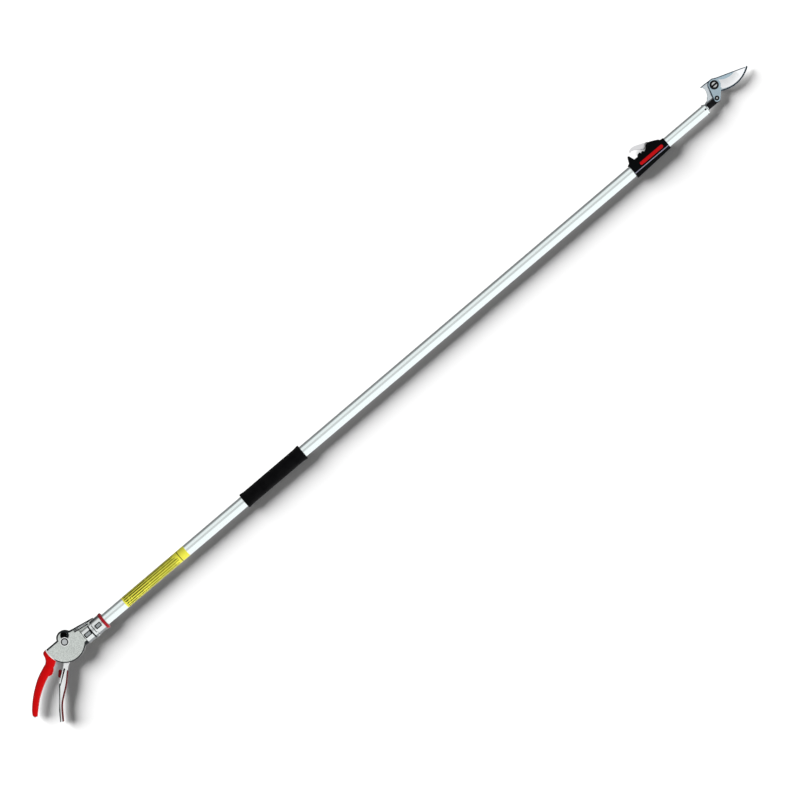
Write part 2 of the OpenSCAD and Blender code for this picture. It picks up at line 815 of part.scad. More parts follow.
module slider_bush() {
    color("ivory") difference() {
        union() {
            along_x(inner_x0 - slider_len, inner_x0, outer_bore_r - run);
            along_x(inner_x0 - over, inner_x0 + slider_spigot, inner_bore_r - seat);
        }
        along_x(inner_x0 - slider_len - over, inner_x0 + slider_spigot + over, slider_bore_r);
    }
}

// Rectangular windows sunk into a collar, on the near, the lower and the far side
module collar_windows(x, r) {
    for (a = [0, 90, 180])
        rotate([a, 0, 0]) translate([x[0], -window_h / 2, r - window_d])
            cube([x[1] - x[0], window_h, 2 * window_d]);
}

// Groove that parts a collar from the piece before it
module collar_neck(x) {
    pipe(x - over, x + neck_w, lip_r + over, neck_r);
}

// Teeth of the socket collar, or with a gap the slots that they stand in
module collar_teeth(gap, x1) {
    x0 = socket_x0 + socket_len - over;
    w = tooth_w + 2 * gap;
    intersection() {
        pipe(x0, x1, collar_r + over, outer_r);
        for (a = [45:90:315])
            rotate([a, 0, 0]) translate([x0, -w / 2, 0]) cube([x1 - x0, w, 2 * collar_r]);
    }
}

module socket_collar() {
    x1 = socket_x0 + socket_len;
    color("lightgray") difference() {
        union() {
            pipe(socket_x0, x1, collar_r, outer_r + seat);
            pipe(lip_x, x1, lip_r, outer_r + seat);
            intersection() {
                collar_teeth(0, x1 + tooth_d);
                pipe(x1 - over, x1 + tooth_d, collar_r, outer_r + seat);
            }
        }
        translate([socket_x0 - over, flat_y, -collar_r])
            cube([socket_len + tooth_d + 2 * over, collar_r, 2 * collar_r]);
        collar_windows(socket_window_x, collar_r);
        collar_neck(socket_x0);
    }
}

module lock_collar() {
    color("lightgray") difference() {
        pipe(lock_x0, lock_x0 + lock_len, collar_r, outer_r + run);
        collar_teeth(tooth_gap, lock_x0 + tooth_d + tooth_gap);
        collar_windows(lock_window_x, collar_r);
        collar_neck(lock_x0);
    }
}

module red_ring() {
    e = ring_edge;
    color("crimson") translate([ring_x0, 0, 0]) rotate([0, 90, 0]) rotate_extrude()
        polygon(concat([[outer_r + run, 0]], arc_pts([ring_r - e, e], e, [-90, 0], 5),
                       arc_pts([ring_r - e, ring_w - e], e, [0, 90], 5), [[outer_r + run, ring_w]]));
}

module label_band() {
    color("gold") pipe(label_x, label_x + label_len, outer_r + label_t, outer_r);
}

module foam_sleeve() {
    mid = outer_r + sleeve_wall;
    end = mid + sleeve_flare;
    edge = arc_pts([end - sleeve_edge, sleeve_edge], sleeve_edge, [-90, 0], 4);
    flare = [for (i = [1:sleeve_steps]) let (k = i / sleeve_steps)
        [mid + sleeve_flare * (1 + cos(180 * k)) / 2, sleeve_edge + (sleeve_lead - sleeve_edge) * k]];
    half = concat(edge, flare);
    other = [for (p = reversed(half)) [p[0], sleeve_len - p[1]]];
    color("black") translate([sleeve_x, 0, 0]) rotate([0, 90, 0]) rotate_extrude()
        polygon(concat([[outer_r, 0]], half, other, [[outer_r, sleeve_len]]));
}

// Section of the clamp: flat sides between two facets
function clamp_section() = [[-section_low, -section_low_half], [flat_low, -axis_h], [flat_high, -axis_h],
    [section_top, -section_top_half], [section_top, section_top_half], [flat_high, axis_h],
    [flat_low, axis_h], [-section_low, section_low_half]];

module inlay_shape(g) {
    y0 = inlay_y - inlay_h / 2 - g;
    y1 = inlay_y + inlay_h / 2 + g;
    r = inlay_h / 2 + g;
    z0 = axis_h - inlay_d - g;
    z1 = g > 0 ? axis_h + over : axis_h;
    disc([inlay_x + inlay_h / 2, inlay_y], r, z0, z1);
    disc([inlay_x + inlay_len - inlay_h / 2, inlay_y], r, z0, z1);
    x = [inlay_x + inlay_h / 2, inlay_x + inlay_len - inlay_h / 2];
    slab(z0, z1, [[x[0], y0], [x[1], y0], [x[1], y1], [x[0], y1]]);
}

module clamp_body() {
    color("black") at_clamp() difference() {
        intersection() {
            slab(-axis_h, axis_h, clamp_side);
            rotate([90, 0, 90]) linear_extrude(clamp_len) polygon(clamp_section());
        }
        along_x(-over, clamp_hold, outer_r + seat);
        along_x(clamp_hold - over, clamp_len + over, outer_bore_r);
        slab(-slot_half, slot_half, lever_slot);
        slab(-slot_half, slot_half,
             [[pad_x[0], 0], [pad_x[1], 0], [pad_x[1], lever_c[1]], [pad_x[0], lever_c[1]]]);
        hole(lever_c, lever_pin_r + seat);
        inlay_shape(seat);
    }
}

module clamp_inlay() {
    color("red") at_clamp() inlay_shape(0);
}

module clamp_lever() {
    color("white") at_clamp() difference() {
        union() {
            disc(lever_c, cam_r, -lever_half, lever_half);
            slab(-lever_half, lever_half, lever_pts);
        }
        hole(lever_c, lever_pin_r + run);
    }
}

module lever_pin() {
    color("silver") at_clamp() disc(lever_c, lever_pin_r, -lever_pin_half, lever_pin_half);
}

module brake_pad() {
    color("saddlebrown") at_clamp() difference() {
        slab(-slot_half, slot_half,
             [[pad_x[0], 0], [pad_x[1], 0], [pad_x[1], slot_floor], [pad_x[0], slot_floor]]);
        along_x(0, clamp_len, outer_bore_r);
    }
}

module head_plug() {
    color("dimgray") at_head() difference() {
        union() {
            along_x(-plug_len, plug_end, inner_bore_r - seat);
            slab(tongue_z0, plate_z0, tongue_pts);
        }
        along_x(-plug_len - over, plug_end + over, upper_rod_r + run);
        along_x(plug_end, through, rod_socket_r + free);
        rivet_row(rivet_r + seat);
        for (p = plate_rivet_pts) hole(p, plate_rivet_r + seat);
    }
}

module head_rivets() {
    color("dimgray") at_head() for (a = [0:90:270])
        translate([rivet_x, 0, 0]) rotate([a, 0, 0]) {
            translate([0, 0, rivet_root_r]) cylinder(h = inner_r - rivet_root_r, r = rivet_r);
            translate([0, 0, inner_r]) cylinder(h = rivet_head, r1 = rivet_r, r2 = rivet_r - rivet_head);
        }
}

module counter_blade() {
    outline = concat([[plate_x0, shank_y]], plate_left, [horn_tip], plate_top,
                     arc_pts(blade_c, plate_boss_r, plate_boss_a, 12),
                     arc_pts(hook_in_c, hook_in_r, hook_in_a, 24), [hook_tip],
                     arc_pts(hook_out_c, hook_out_r, hook_out_a, 24), [[plate_x1, shank_y]]);
    color("lightsteelblue") at_head() difference() {
        slab(plate_z0, 0, outline);
        hole(blade_c, bolt_shank_r + seat);
        for (p = plate_rivet_pts) hole(p, plate_rivet_r + seat);
    }
}

module plate_rivets() {
    color("lightsteelblue") at_head() for (p = plate_rivet_pts) disc(p, plate_rivet_r, tongue_z0, 0);
}

module blade() {
    edge = arc_pts(edge_c, edge_r + over, edge_a, 30);
    wing = concat(spine_pts, edge, [wing_root, blade_c]);
    tail = concat(tail_left, [tail_c], tail_right, [blade_c]);
    color("white") at_head() difference() {
        union() {
            intersection() {
                slab(blade_z0, blade_z1, wing);
                union() {
                    disc(edge_c, edge_r, blade_z0, blade_z0 + land_t);
                    translate([edge_c[0], edge_c[1], blade_z0 + land_t])
                        cylinder(h = blade_t - land_t, r1 = edge_r, r2 = edge_r - grind_w);
                }
            }
            disc(blade_c, boss_r, blade_z0, blade_z1);
            slab(blade_z0, blade_z1, tail);
            disc(tail_c, lobe_r, blade_z0, blade_z1);
        }
        hole(blade_c, bolt_shank_r + run);
        hole(tail_c, pin_r + seat);
    }
}

module blade_bolt() {
    flange_h = bolt_head_h - button_h;
    color("dimgray") at_head() {
        disc(blade_c, bolt_shank_r, plate_z0 - washer_t - nut_h - bolt_end, blade_z1 + run);
        translate([blade_c[0], blade_c[1], blade_z1 + run]) difference() {
            union() {
                rotate_extrude() polygon(concat([[0, 0], [bolt_head_r, 0]],
                    arc_pts([bolt_head_r - crown_r, flange_h - crown_r], crown_r, [0, 90], 6),
                    [[0, flange_h]]));
                cylinder(h = bolt_head_h, r = button_r);
            }
            translate([-bolt_head_r, -driver_w / 2, flange_h])
                cube([2 * bolt_head_r, driver_w, button_h + over]);
        }
    }
}

module blade_washer() {
    color("silver") at_head() difference() {
        disc(blade_c, washer_r, plate_z0 - washer_t, plate_z0);
        hole(blade_c, bolt_shank_r + seat);
    }
}

module blade_nut() {
    z1 = plate_z0 - washer_t;
    color("dimgray") at_head() difference() {
        hexagon(blade_c, blade_nut_r, z1 - nut_h, z1);
        hole(blade_c, bolt_shank_r + seat);
    }
}

module tail_pin() {
    z1 = blade_z1 + tail_head_h;
    color("dimgray") at_head() difference() {
        union() {
            disc(tail_c, pin_r, bar_z1 - bar_t, blade_z1);
            disc(tail_c, tail_head_r, blade_z1, z1);
        }
        disc(tail_c, dimple_r, z1 - dimple_d, z1 + over);
    }
}

module upper_rod() {
    x1 = head_x + bar_x0 + rod_seat_len;
    color("lightgray") along_x(x1 - upper_rod_len, x1, upper_rod_r);
}

// Flat bar with an upright slot for the tail pin, on a socket round the upper rod
module rod_end() {
    r = pin_r + slot_gap;
    hi = tail_c[1] + eye_up;
    lo = tail_c[1] - eye_down;
    z0 = bar_z1 - bar_t;
    color("black") at_head() difference() {
        union() {
            along_x(bar_x0, bar_x0 + rod_socket_len, rod_socket_r);
            slab(z0, bar_z1, [[bar_x0 + bar_root, bar_low], [tail_c[0], bar_low], [tail_c[0], bar_high],
                              [bar_x0 + bar_root, bar_high]]);
            disc([tail_c[0], hi], r + eye_wall, z0, bar_z1);
            disc([tail_c[0], lo], r + eye_wall, z0, bar_z1);
            slab(z0, bar_z1, [[tail_c[0], lo], [tail_c[0] + r + eye_wall, lo], [tail_c[0] + r + eye_wall, hi],
                              [tail_c[0], hi]]);
        }
        hole([tail_c[0], hi], r);
        hole([tail_c[0], lo], r);
        slab(-through, through,
             [[tail_c[0] - r, lo], [tail_c[0] + r, lo], [tail_c[0] + r, hi], [tail_c[0] - r, hi]]);
        along_x(bar_x0 - over, bar_x0 + rod_seat_len, upper_rod_r + seat);
    }
}

placed() outer_tube();
placed() inner_tube();
placed() housing_near();
placed() housing_far();
placed() housing_screws();
placed() grip_core();
placed() grip_cover();
placed() grip_bumper();
placed() trigger();
placed() trigger_bush();
placed() trigger_bolt();
placed() trigger_nut();
placed() finger_pad();
placed() trigger_bumper();
placed() return_spring();
placed() rod_eye();
placed() yoke_pin();
placed() lower_rod();
placed() rod_lock();
placed() guide_bush();
placed() slider_bush();
placed() socket_collar();
placed() lock_collar();
placed() red_ring();
placed() label_band();
placed() foam_sleeve();
placed() clamp_body();
placed() clamp_inlay();
placed() clamp_lever();
placed() lever_pin();
placed() brake_pad();
placed() head_plug();
placed() head_rivets();
placed() counter_blade();
placed() plate_rivets();
placed() blade();
placed() blade_bolt();
placed() blade_washer();
placed() blade_nut();
placed() tail_pin();
placed() upper_rod();
placed() rod_end();
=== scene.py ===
"""Telescopic tree pruner pole: the looks of every piece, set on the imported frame."""
import json
import math
from types import SimpleNamespace
from typing import NamedTuple

import bmesh
import bpy
from mathutils import Matrix, Vector, noise


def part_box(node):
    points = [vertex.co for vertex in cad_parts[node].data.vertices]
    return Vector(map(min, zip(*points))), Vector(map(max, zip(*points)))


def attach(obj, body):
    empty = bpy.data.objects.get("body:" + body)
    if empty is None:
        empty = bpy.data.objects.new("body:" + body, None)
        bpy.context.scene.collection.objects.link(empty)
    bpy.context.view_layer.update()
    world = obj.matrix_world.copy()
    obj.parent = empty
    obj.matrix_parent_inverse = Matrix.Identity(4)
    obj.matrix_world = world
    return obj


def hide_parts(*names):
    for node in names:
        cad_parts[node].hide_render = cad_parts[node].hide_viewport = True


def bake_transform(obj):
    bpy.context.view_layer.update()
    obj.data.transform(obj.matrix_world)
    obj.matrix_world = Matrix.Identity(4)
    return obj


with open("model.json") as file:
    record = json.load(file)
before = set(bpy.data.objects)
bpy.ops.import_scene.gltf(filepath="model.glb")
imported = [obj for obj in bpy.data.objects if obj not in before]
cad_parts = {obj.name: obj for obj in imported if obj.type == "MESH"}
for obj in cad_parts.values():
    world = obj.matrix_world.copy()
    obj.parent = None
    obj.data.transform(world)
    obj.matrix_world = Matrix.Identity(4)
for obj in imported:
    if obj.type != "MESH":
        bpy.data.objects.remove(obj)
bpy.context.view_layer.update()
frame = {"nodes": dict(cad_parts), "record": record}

bl_info = {
    "name": "Tree Pruner Pole",
    "version": (1, 0, 0),
    "blender": (4, 5, 0),
    "location": "View3D > Sidebar > Pruner",
    "description": "Finishes, rounded edges and soft parts of a telescopic tree pruner pole",
    "category": "Object",
}

MM = 0.001
MERGE = 0.002 * MM
FLAT = math.radians(0.5)
SHARP = math.radians(30.0)

RECORD = frame["record"]
BODY_OF = {node: body for body, nodes in RECORD["behaviour"]["bodies"].items() for node in nodes}
SLOT_OF = {part["node"]: part["material_slot"] for part in RECORD["subparts"]}


def middle(node):
    """Return the middle of a node's box."""
    low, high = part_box(node)
    return (Vector(low) + Vector(high)) / 2


def extent(node):
    """Return the three sides of a node's box."""
    low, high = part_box(node)
    return Vector(high) - Vector(low)


# Places that the frame gives: the pole's axis and radius, and the two pivots
AXIS = middle("outer_tube")
TUBE_R = extent("outer_tube").z / 2
PIVOT = middle("trigger_bolt")
BLADE_PIVOT = middle("blade_bolt")
ALONG = Vector((1.0, 0.0, 0.0))
UP = Vector((0.0, 0.0, 1.0))


def linear(hex_colour):
    """Turn an sRGB hex colour into linear red, green and blue."""
    parts = [int(hex_colour[i:i + 2], 16) / 255 for i in (0, 2, 4)]
    return tuple(c / 12.92 if c <= 0.04045 else ((c + 0.055) / 1.055) ** 2.4 for c in parts)


def colour(name, description, hex_colour):
    """Return a colour property with an sRGB hex default."""
    return bpy.props.FloatVectorProperty(name=name, description=description, subtype="COLOR", size=3,
                                         min=0.0, max=1.0, default=linear(hex_colour))


def length(name, description, millimetres):
    """Return a length property with a default in millimetres."""
    return bpy.props.FloatProperty(name=name, description=description, subtype="DISTANCE", unit="LENGTH",
                                   min=0.0, precision=5, default=millimetres * MM)


def angle(name, description, degrees):
    """Return an angle property with a default in degrees."""
    return bpy.props.FloatProperty(name=name, description=description, subtype="ANGLE",
                                   default=math.radians(degrees))


def strength(name, description, value):
    """Return the strength of a light as a property."""
    return bpy.props.FloatProperty(name=name, description=description, min=0.0, default=value)


class PrunerSizes(bpy.types.PropertyGroup):
    """Sizes of the details that the frame leaves to the looks."""
    tube_edge: length("Tube edge", "Rounding of the tubes' cut ends", 0.3)
    cast_edge: length("Casting edge", "Rounding of the housing's edges", 0.7)
    trigger_edge: length("Trigger edge", "Rounding of the trigger's rims", 0.6)
    rubber_edge: length("Rubber edge", "Rounding of the pads and bumpers", 0.8)
    collar_edge: length("Collar edge", "Chamfer of the bright collars", 0.4)
    plastic_edge: length("Plastic edge", "Rounding of the clamp and its lever", 0.9)
    steel_edge: length("Steel edge", "Broken edge of plates, bolts and pins", 0.25)
    # Widths of the painted shade along the edges of the blade and the counter blade, and round the hook
    plate_edge: length("Plate edge shade", "Width of the dark edges of the counter blade and the blade", 1.9)
    hook_edge: length("Hook edge", "Width of the dark rim of the counter blade's hook", 3.2)
    bolt_edge: length("Bolt edge", "Width of the black border on the blade bolt's crown", 0.9)
    crease: length("Crease", "Width of the painted highlight along the clamp's crease", 0.9)
    # Widths of the painted shade along the housing's edges and the back of the trigger's foot
    edge_line: length("Edge line", "Width of the dark edge of the housing", 3.6)
    lever_line: length("Lever line", "Width of the dark edge of the trigger's foot", 1.8)
    sleeve_wall: length("Sleeve wall", "Wall of the foam sleeve at its waist", 3.6)
    sleeve_lead: length("Sleeve lead", "Length of the flare at each end of the sleeve", 14.0)
    sleeve_edge: length("Sleeve edge", "Rounding of the sleeve's ends", 2.0)
    sleeve_swell: length("Sleeve swell", "Unevenness of the foam", 0.12)
    wire: length("Spring wire", "Diameter of the return spring's wire", 1.2)
    spring_turns: bpy.props.IntProperty(name="Spring turns", description="Turns of the return spring",
                                        min=4, max=40, default=13)
    # Widths of painted shade round the collars' windows and before their lip, and half the width of the crown
    # left bright between the painted shade on their sides
    window_border: length("Window border", "Width of the black border of the collars' windows", 2.9)
    lip_line: length("Lip line", "Width of the black line before the collars' lip", 3.2)
    collar_crown: length("Collar crown", "Half the width of the bright crown of the collars", 12.8)
    line_gap: length("Line gap", "Distance between the ruled lines on the label", 5.0)
    line_width: length("Line width", "Width of the ruled lines on the label", 2.3)
    stroke: length("Stroke", "Step at which the ruled lines on the label may break", 2.2)
    divider: length("Divider", "Distance of the label's divider from its far end", 18.4)


class PrunerColours(bpy.types.PropertyGroup):
    """Colours of the finishes, as the real materials have them, and of the painted shade and highlights."""
    tube: colour("Tube", "Anodised aluminium tube", "EDF6F6")
    casting: colour("Casting", "Sand textured die casting", "DCE2DE")
    # Painted shade on the housing's walls and edges, and on the trigger's rims and foot
    skin: colour("Casting skin", "Painted shade on the walls and edges of the die casting", "24282A")
    trigger: colour("Trigger", "Bright drawn alloy", "EEF0F0")
    grip: colour("Grip", "Red vinyl", "D00A0C")
    rubber: colour("Rubber", "Dark red rubber", "5C0C12")
    steel: colour("Steel", "Grey steel", "9A9EA0")
    zinc: colour("Zinc", "Bright zinc plate", "D2D6D8")
    # Also the painted shade on the collars
    black: colour("Black steel", "Black oxide", "0C0D10")
    wire: colour("Spring wire", "Drawn spring wire", "E2E6E8")
    bronze: colour("Bronze", "Sintered bronze", "B88A4C")
    acetal: colour("Acetal", "Natural acetal", "E8E4D6")
    nickel: colour("Nickel", "Bright nickel plate", "DEE2E2")
    # Painted shade on the collars' sides
    side: colour("Collar side shade", "Painted shade on the sides of the collars", "8A8E90")
    window: colour("Window", "Grey floor of the collars' windows", "A0A6A8")
    ring: colour("Ring", "Dark red plastic ring", "A81220")
    label: colour("Label", "Yellow film", "F2EE50")
    ink: colour("Ink", "Printing on the label", "262804")
    foam: colour("Foam", "Black closed cell foam", "040405")
    clamp: colour("Clamp", "Black nylon", "040506")
    # Painted highlight along the clamp's crease
    rubbed: colour("Crease highlight", "Painted highlight along the crease of the black nylon", "8C8CA0")
    inlay: colour("Inlay", "Red plastic inlay", "C60A10")
    lever: colour("Lever", "White plastic", "E6E6E8")
    brake: colour("Brake", "Brown brake rubber", "4A3A30")
    plug: colour("Plug", "Grey die casting", "8C9092")
    plate: colour("Plate", "Satin chromed steel", "E6EFF4")
    blade: colour("Blade", "Satin chromed blade", "BCD2DE")
    # Painted shade along the edges of the blade and the counter blade
    edge: colour("Plate edge shade", "Painted shade along the edges of the head's plates", "3A4854")
    ground: colour("Ground face", "Polished hollow ground face", "F6F8FA")


class PrunerStage(bpy.types.PropertyGroup):
    """Camera and light."""
    camera_height: length("Camera height", "Height of the camera over the floor", 8000.0)
    frame_width: length("Frame width", "Width of floor that the camera sees", 1663.7)
    turn: angle("Turn", "Turn of the camera about the vertical", -40.35)
    aim: bpy.props.FloatVectorProperty(name="Aim", subtype="TRANSLATION", size=2, default=(0.8539, -0.0680),
                                       description="Point under the camera, from the trigger's bolt")
    sun: strength("Sun", "Strength of the light on the floor", 6.7)
    sun_height: angle("Sun height", "Height of the light on the floor", 30.8)
    sun_turn: angle("Sun turn", "Turn of the light on the floor about the vertical", 31.0)
    sun_size: angle("Sun size", "Angle that the light on the floor fills", 42.0)
    key: strength("Key", "Strength of the light on the tool", 2.6)
    key_height: angle("Key height", "Height of the light on the tool", 60.0)
    key_size: angle("Key size", "Angle that the light on the tool fills", 26.0)
    fill: strength("Fill", "Strength of the light from all round", 0.15)


def sizes():
    """Return the sizes that the user may change."""
    return bpy.context.scene.pruner_sizes


def colours():
    """Return the colours that the user may change."""
    return bpy.context.scene.pruner_colours


def spot(x, y):
    """Return a level place in millimetres, from the pivot that it belongs to."""
    return Vector((x, y, 0.0)) * MM


# Centre of the round cutting edge, from the blade's bolt
EDGE_CENTRE = spot(39.4, 30.0)
# Recess and boss round the trigger's bolt, the part of the trigger in the housing, and the hollow for it
RECESS_R = 8.0 * MM
BOSS_R = 10.0 * MM
WORKS_R = 22.0 * MM
CAVITY_R = 41.0 * MM
SLACK = 0.1 * MM
# Greatest upright part of the normal on the housing's walls and on the inner part of its rounded rim
SIDE_RISE = 0.99
RIM_RISE = 0.995
# Least upright part of the normal on a face that looks up
LEVEL_RISE = 0.9
# Straight edges with painted shade: a corner, the way out of the piece, and the span along the pole from that
# corner
HOUSING_EDGES = ((spot(-11.3, 12.4), (0.0, 1.0, 0.0), -60 * MM, 0.0),
                 (spot(21.5, 11.6), (0.1954, 0.9807, 0.0), -2 * MM, 60 * MM))
LEVER_EDGES = ((spot(-64.0, -58.0), (-0.759, 0.651, 0.0), -26.4 * MM, 0.0),
               (spot(-90.4, -88.8), (-0.793, 0.609, 0.0), -30 * MM, 0.0))
TAIL_EDGE = (spot(-13.7, 1.6), (-0.96, 0.28, 0.0), -8 * MM, 0.5 * MM)
SHOULDER_EDGE = (spot(4.4, 13.6), (0.485, 0.875, 0.0), -2 * MM, 7.4 * MM)
SPINE_EDGE = (spot(11.8, 9.5), (0.339, 0.941, 0.0), 0.0, 70 * MM)
HORN_EDGE = (spot(-23.6, 14.7), (0.042, 0.999, 0.0), -4 * MM, 22 * MM)
# Round edges with painted shade: the centre, the radius, and the side of the piece with the place where the
# edge starts
DOME_EDGE = (spot(3.8, 6.7), 16.2 * MM, (0.0, 1.0, 0.0), 9.0 * MM)
BOSS_EDGE = (spot(0.0, 0.0), 13.8 * MM, (-0.5, 0.866, 0.0), 6.0 * MM)
HOOK_EDGE = (spot(37.8, 43.5), 72.0 * MM, (1.0, 0.0, 0.0), 0.0)
# Pocket beside the trigger's bolt, with painted shade
POCKET_AT = spot(8.5, 10.3)
POCKET_R = 9.2 * MM
# Reach of the dimple in the tail pin
DIMPLE_R = 1.9 * MM
# Lines on the label: where they start, how far before the divider they stop, the share of a line that holds,
# and half the divider's width
LINE_START = 3 * MM
LINE_STOP = (16 * MM, 4 * MM)
LINE_HOLD = 0.94
DIVIDER_HALF = 0.8 * MM
# Cells of the foam are about 0.5 mm, and are drawn as 2 mm to show
FOAM_CELL = 2.0 * MM
FOAM_PIT = 0.25 * MM
# Marks of the grinding wheel are about 0.2 mm apart, and are drawn as 0.9 mm, or one degree round the edge
WHEEL_MARK = math.radians(1.0)
WHEEL_DEPTH = 0.02 * MM
# Range of the clouds, and the shares of the roughness that they lead to
CLOUD_RANGE = (0.3, 0.7)
GLOSS_SHARES = (0.85, 1.15)
# Range of the casting's grit with its shades, and how far inside an edge of painted shade it fades, in widths
GRIT_SHADES = (0.35, 0.65, 0.72, 1.0)
EDGE_FADE = (-1.2, -0.8)


class Finish(NamedTuple):
    """Look of a finish: clouds vary its shade and gloss, and a grain, drawn out along the axes, raises it."""
    name: str
    rgb: str
    roughness: float
    metallic: float
    cloud: float
    shade: float
    grain: float
    depth: float
    drawn: tuple = (1.0, 1.0, 1.0)
    specular: float = 0.5


# Finishes of the material slots, and of single faces.
# Clouds and grain are in millimetres. Fine marks, such as drawing lines, tool marks, grit and sparks, are
# about 0.1 to 0.5 mm apart on the real tool, and are drawn several times as coarse to show
FINISHES = {
    "tube_aluminium": Finish("Anodised aluminium tube", "tube", 0.22, 1.0, 60.0, 0.03, 1.0, 0.012,
                             (120.0, 1.0, 1.0)),
    "cast_alloy": Finish("Sand textured die casting", "casting", 0.42, 1.0, 30.0, 0.05, 2.2, 0.22),
    # Painted shade on the housing's walls and the trigger's rims
    "painted_wall_shade": Finish("Dark casting skin", "skin", 0.38, 1.0, 10.0, 0.15, 1.0, 0.05),
    # Painted highlight on the housing's rims and boss, partly the bright metal of trimmed rims
    "trimmed_casting": Finish("Trimmed casting rim", "trigger", 0.5, 1.0, 12.0, 0.04, 0.8, 0.01),
    "trigger_alloy": Finish("Bright drawn alloy", "trigger", 0.5, 1.0, 18.0, 0.05, 0.9, 0.015,
                            (6.0, 6.0, 1.0)),
    "grip_plastic": Finish("Red dipped vinyl", "grip", 0.34, 0.0, 25.0, 0.06, 2.0, 0.05, specular=0.1),
    "dark_red_rubber": Finish("Dark red rubber", "rubber", 0.62, 0.0, 10.0, 0.12, 0.8, 0.05, specular=0.15),
    "core_steel": Finish("Grey rolled steel", "steel", 0.4, 1.0, 6.0, 0.15, 1.2, 0.04),
    "zinc_steel": Finish("Bright zinc plate", "zinc", 0.28, 1.0, 3.0, 0.08, 0.6, 0.01),
    # Black oxide on pins and bolts, and painted shade on the collars
    "black_steel": Finish("Black oxide steel", "black", 0.36, 0.6, 5.0, 0.2, 0.7, 0.02, specular=0.25),
    # Painted shade on the works inside the housing and the trigger, and in the recess round the trigger's
    # bolt
    "painted_shade_alloy": Finish("Greased dark alloy", "black", 0.5, 0.3, 6.0, 0.3, 0.8, 0.03, specular=0.2),
    "spring_steel": Finish("Drawn spring wire", "wire", 0.25, 0.4, 4.0, 0.1, 0.4, 0.01),
    "bronze": Finish("Sintered bronze", "bronze", 0.42, 1.0, 3.0, 0.15, 0.35, 0.03),
    "guide_plastic": Finish("Natural acetal", "acetal", 0.4, 0.0, 12.0, 0.04, 0.8, 0.02),
    "collar_chrome": Finish("Bright nickel plate", "nickel", 0.16, 1.0, 14.0, 0.03, 0.6, 0.01,
                            (1.0, 40.0, 40.0)),
    # Painted shade on the collars' sides
    "dull_nickel": Finish("Dull nickel plate", "side", 0.34, 1.0, 10.0, 0.06, 0.6, 0.02, (1.0, 40.0, 40.0)),
    "milled_window": Finish("Milled window floor", "window", 0.5, 0.8, 5.0, 0.2, 0.8, 0.05),
    "ring_plastic": Finish("Dark red plastic", "ring", 0.3, 0.0, 10.0, 0.06, 1.0, 0.02, specular=0.2),
    "label_film": Finish("Printed yellow film", "label", 0.32, 0.0, 20.0, 0.04, 1.5, 0.01, specular=0.2),
    "sleeve_foam": Finish("Black closed cell foam", "foam", 0.85, 0.0, 18.0, 0.25, 2.0, 0.3, specular=0.08),
    "clamp_plastic": Finish("Black glass filled nylon", "clamp", 0.5, 0.0, 15.0, 0.15, 1.2, 0.06,
                            specular=0.04),
    # Painted highlight along the clamp's crease
    "rubbed_nylon": Finish("Rubbed nylon edge", "rubbed", 0.32, 0.0, 6.0, 0.2, 0.8, 0.02),
    "inlay_plastic": Finish("Red moulded plastic", "inlay", 0.28, 0.0, 12.0, 0.05, 1.0, 0.015, specular=0.15),
    "lever_plastic": Finish("White moulded plastic", "lever", 0.34, 0.0, 14.0, 0.03, 1.0, 0.02),
    "pad_rubber": Finish("Brown brake rubber", "brake", 0.8, 0.0, 4.0, 0.2, 0.6, 0.06),
    "plug_alloy": Finish("Grey die casting", "plug", 0.4, 1.0, 8.0, 0.12, 1.0, 0.05),
    "plate_steel": Finish("Satin chromed steel", "plate", 0.24, 1.0, 16.0, 0.06, 0.5, 0.012,
                          (20.0, 1.0, 1.0)),
    "blade_steel": Finish("Chromed blade steel", "blade", 0.26, 1.0, 14.0, 0.06, 0.5, 0.01, (20.0, 1.0, 1.0)),
    "ground_face": Finish("Ground blade face", "ground", 0.2, 1.0, 12.0, 0.03, 0.8, 0.01),
}


def add_node(tree, kind, inputs=None, **settings):
    """Add a shader node with its fields and inputs. A node as an input stands for its first output."""
    node = tree.nodes.new("ShaderNode" + kind)
    for field, value in settings.items():
        setattr(node, field, value)
    for key, value in (inputs or {}).items():
        if isinstance(value, bpy.types.Node):
            value = value.outputs[0]
        if isinstance(value, bpy.types.NodeSocket):
            tree.links.new(value, node.inputs[key])
        else:
            node.inputs[key].default_value = value
    return node


# Inputs of a node that maps a range of values to another one
RANGE = ("Value", "From Min", "From Max", "To Min", "To Max")


def tone(rgb, factor):
    """Return a colour made darker or paler, with its alpha."""
    return tuple(min(1.0, c * factor) for c in rgb) + (1.0,)


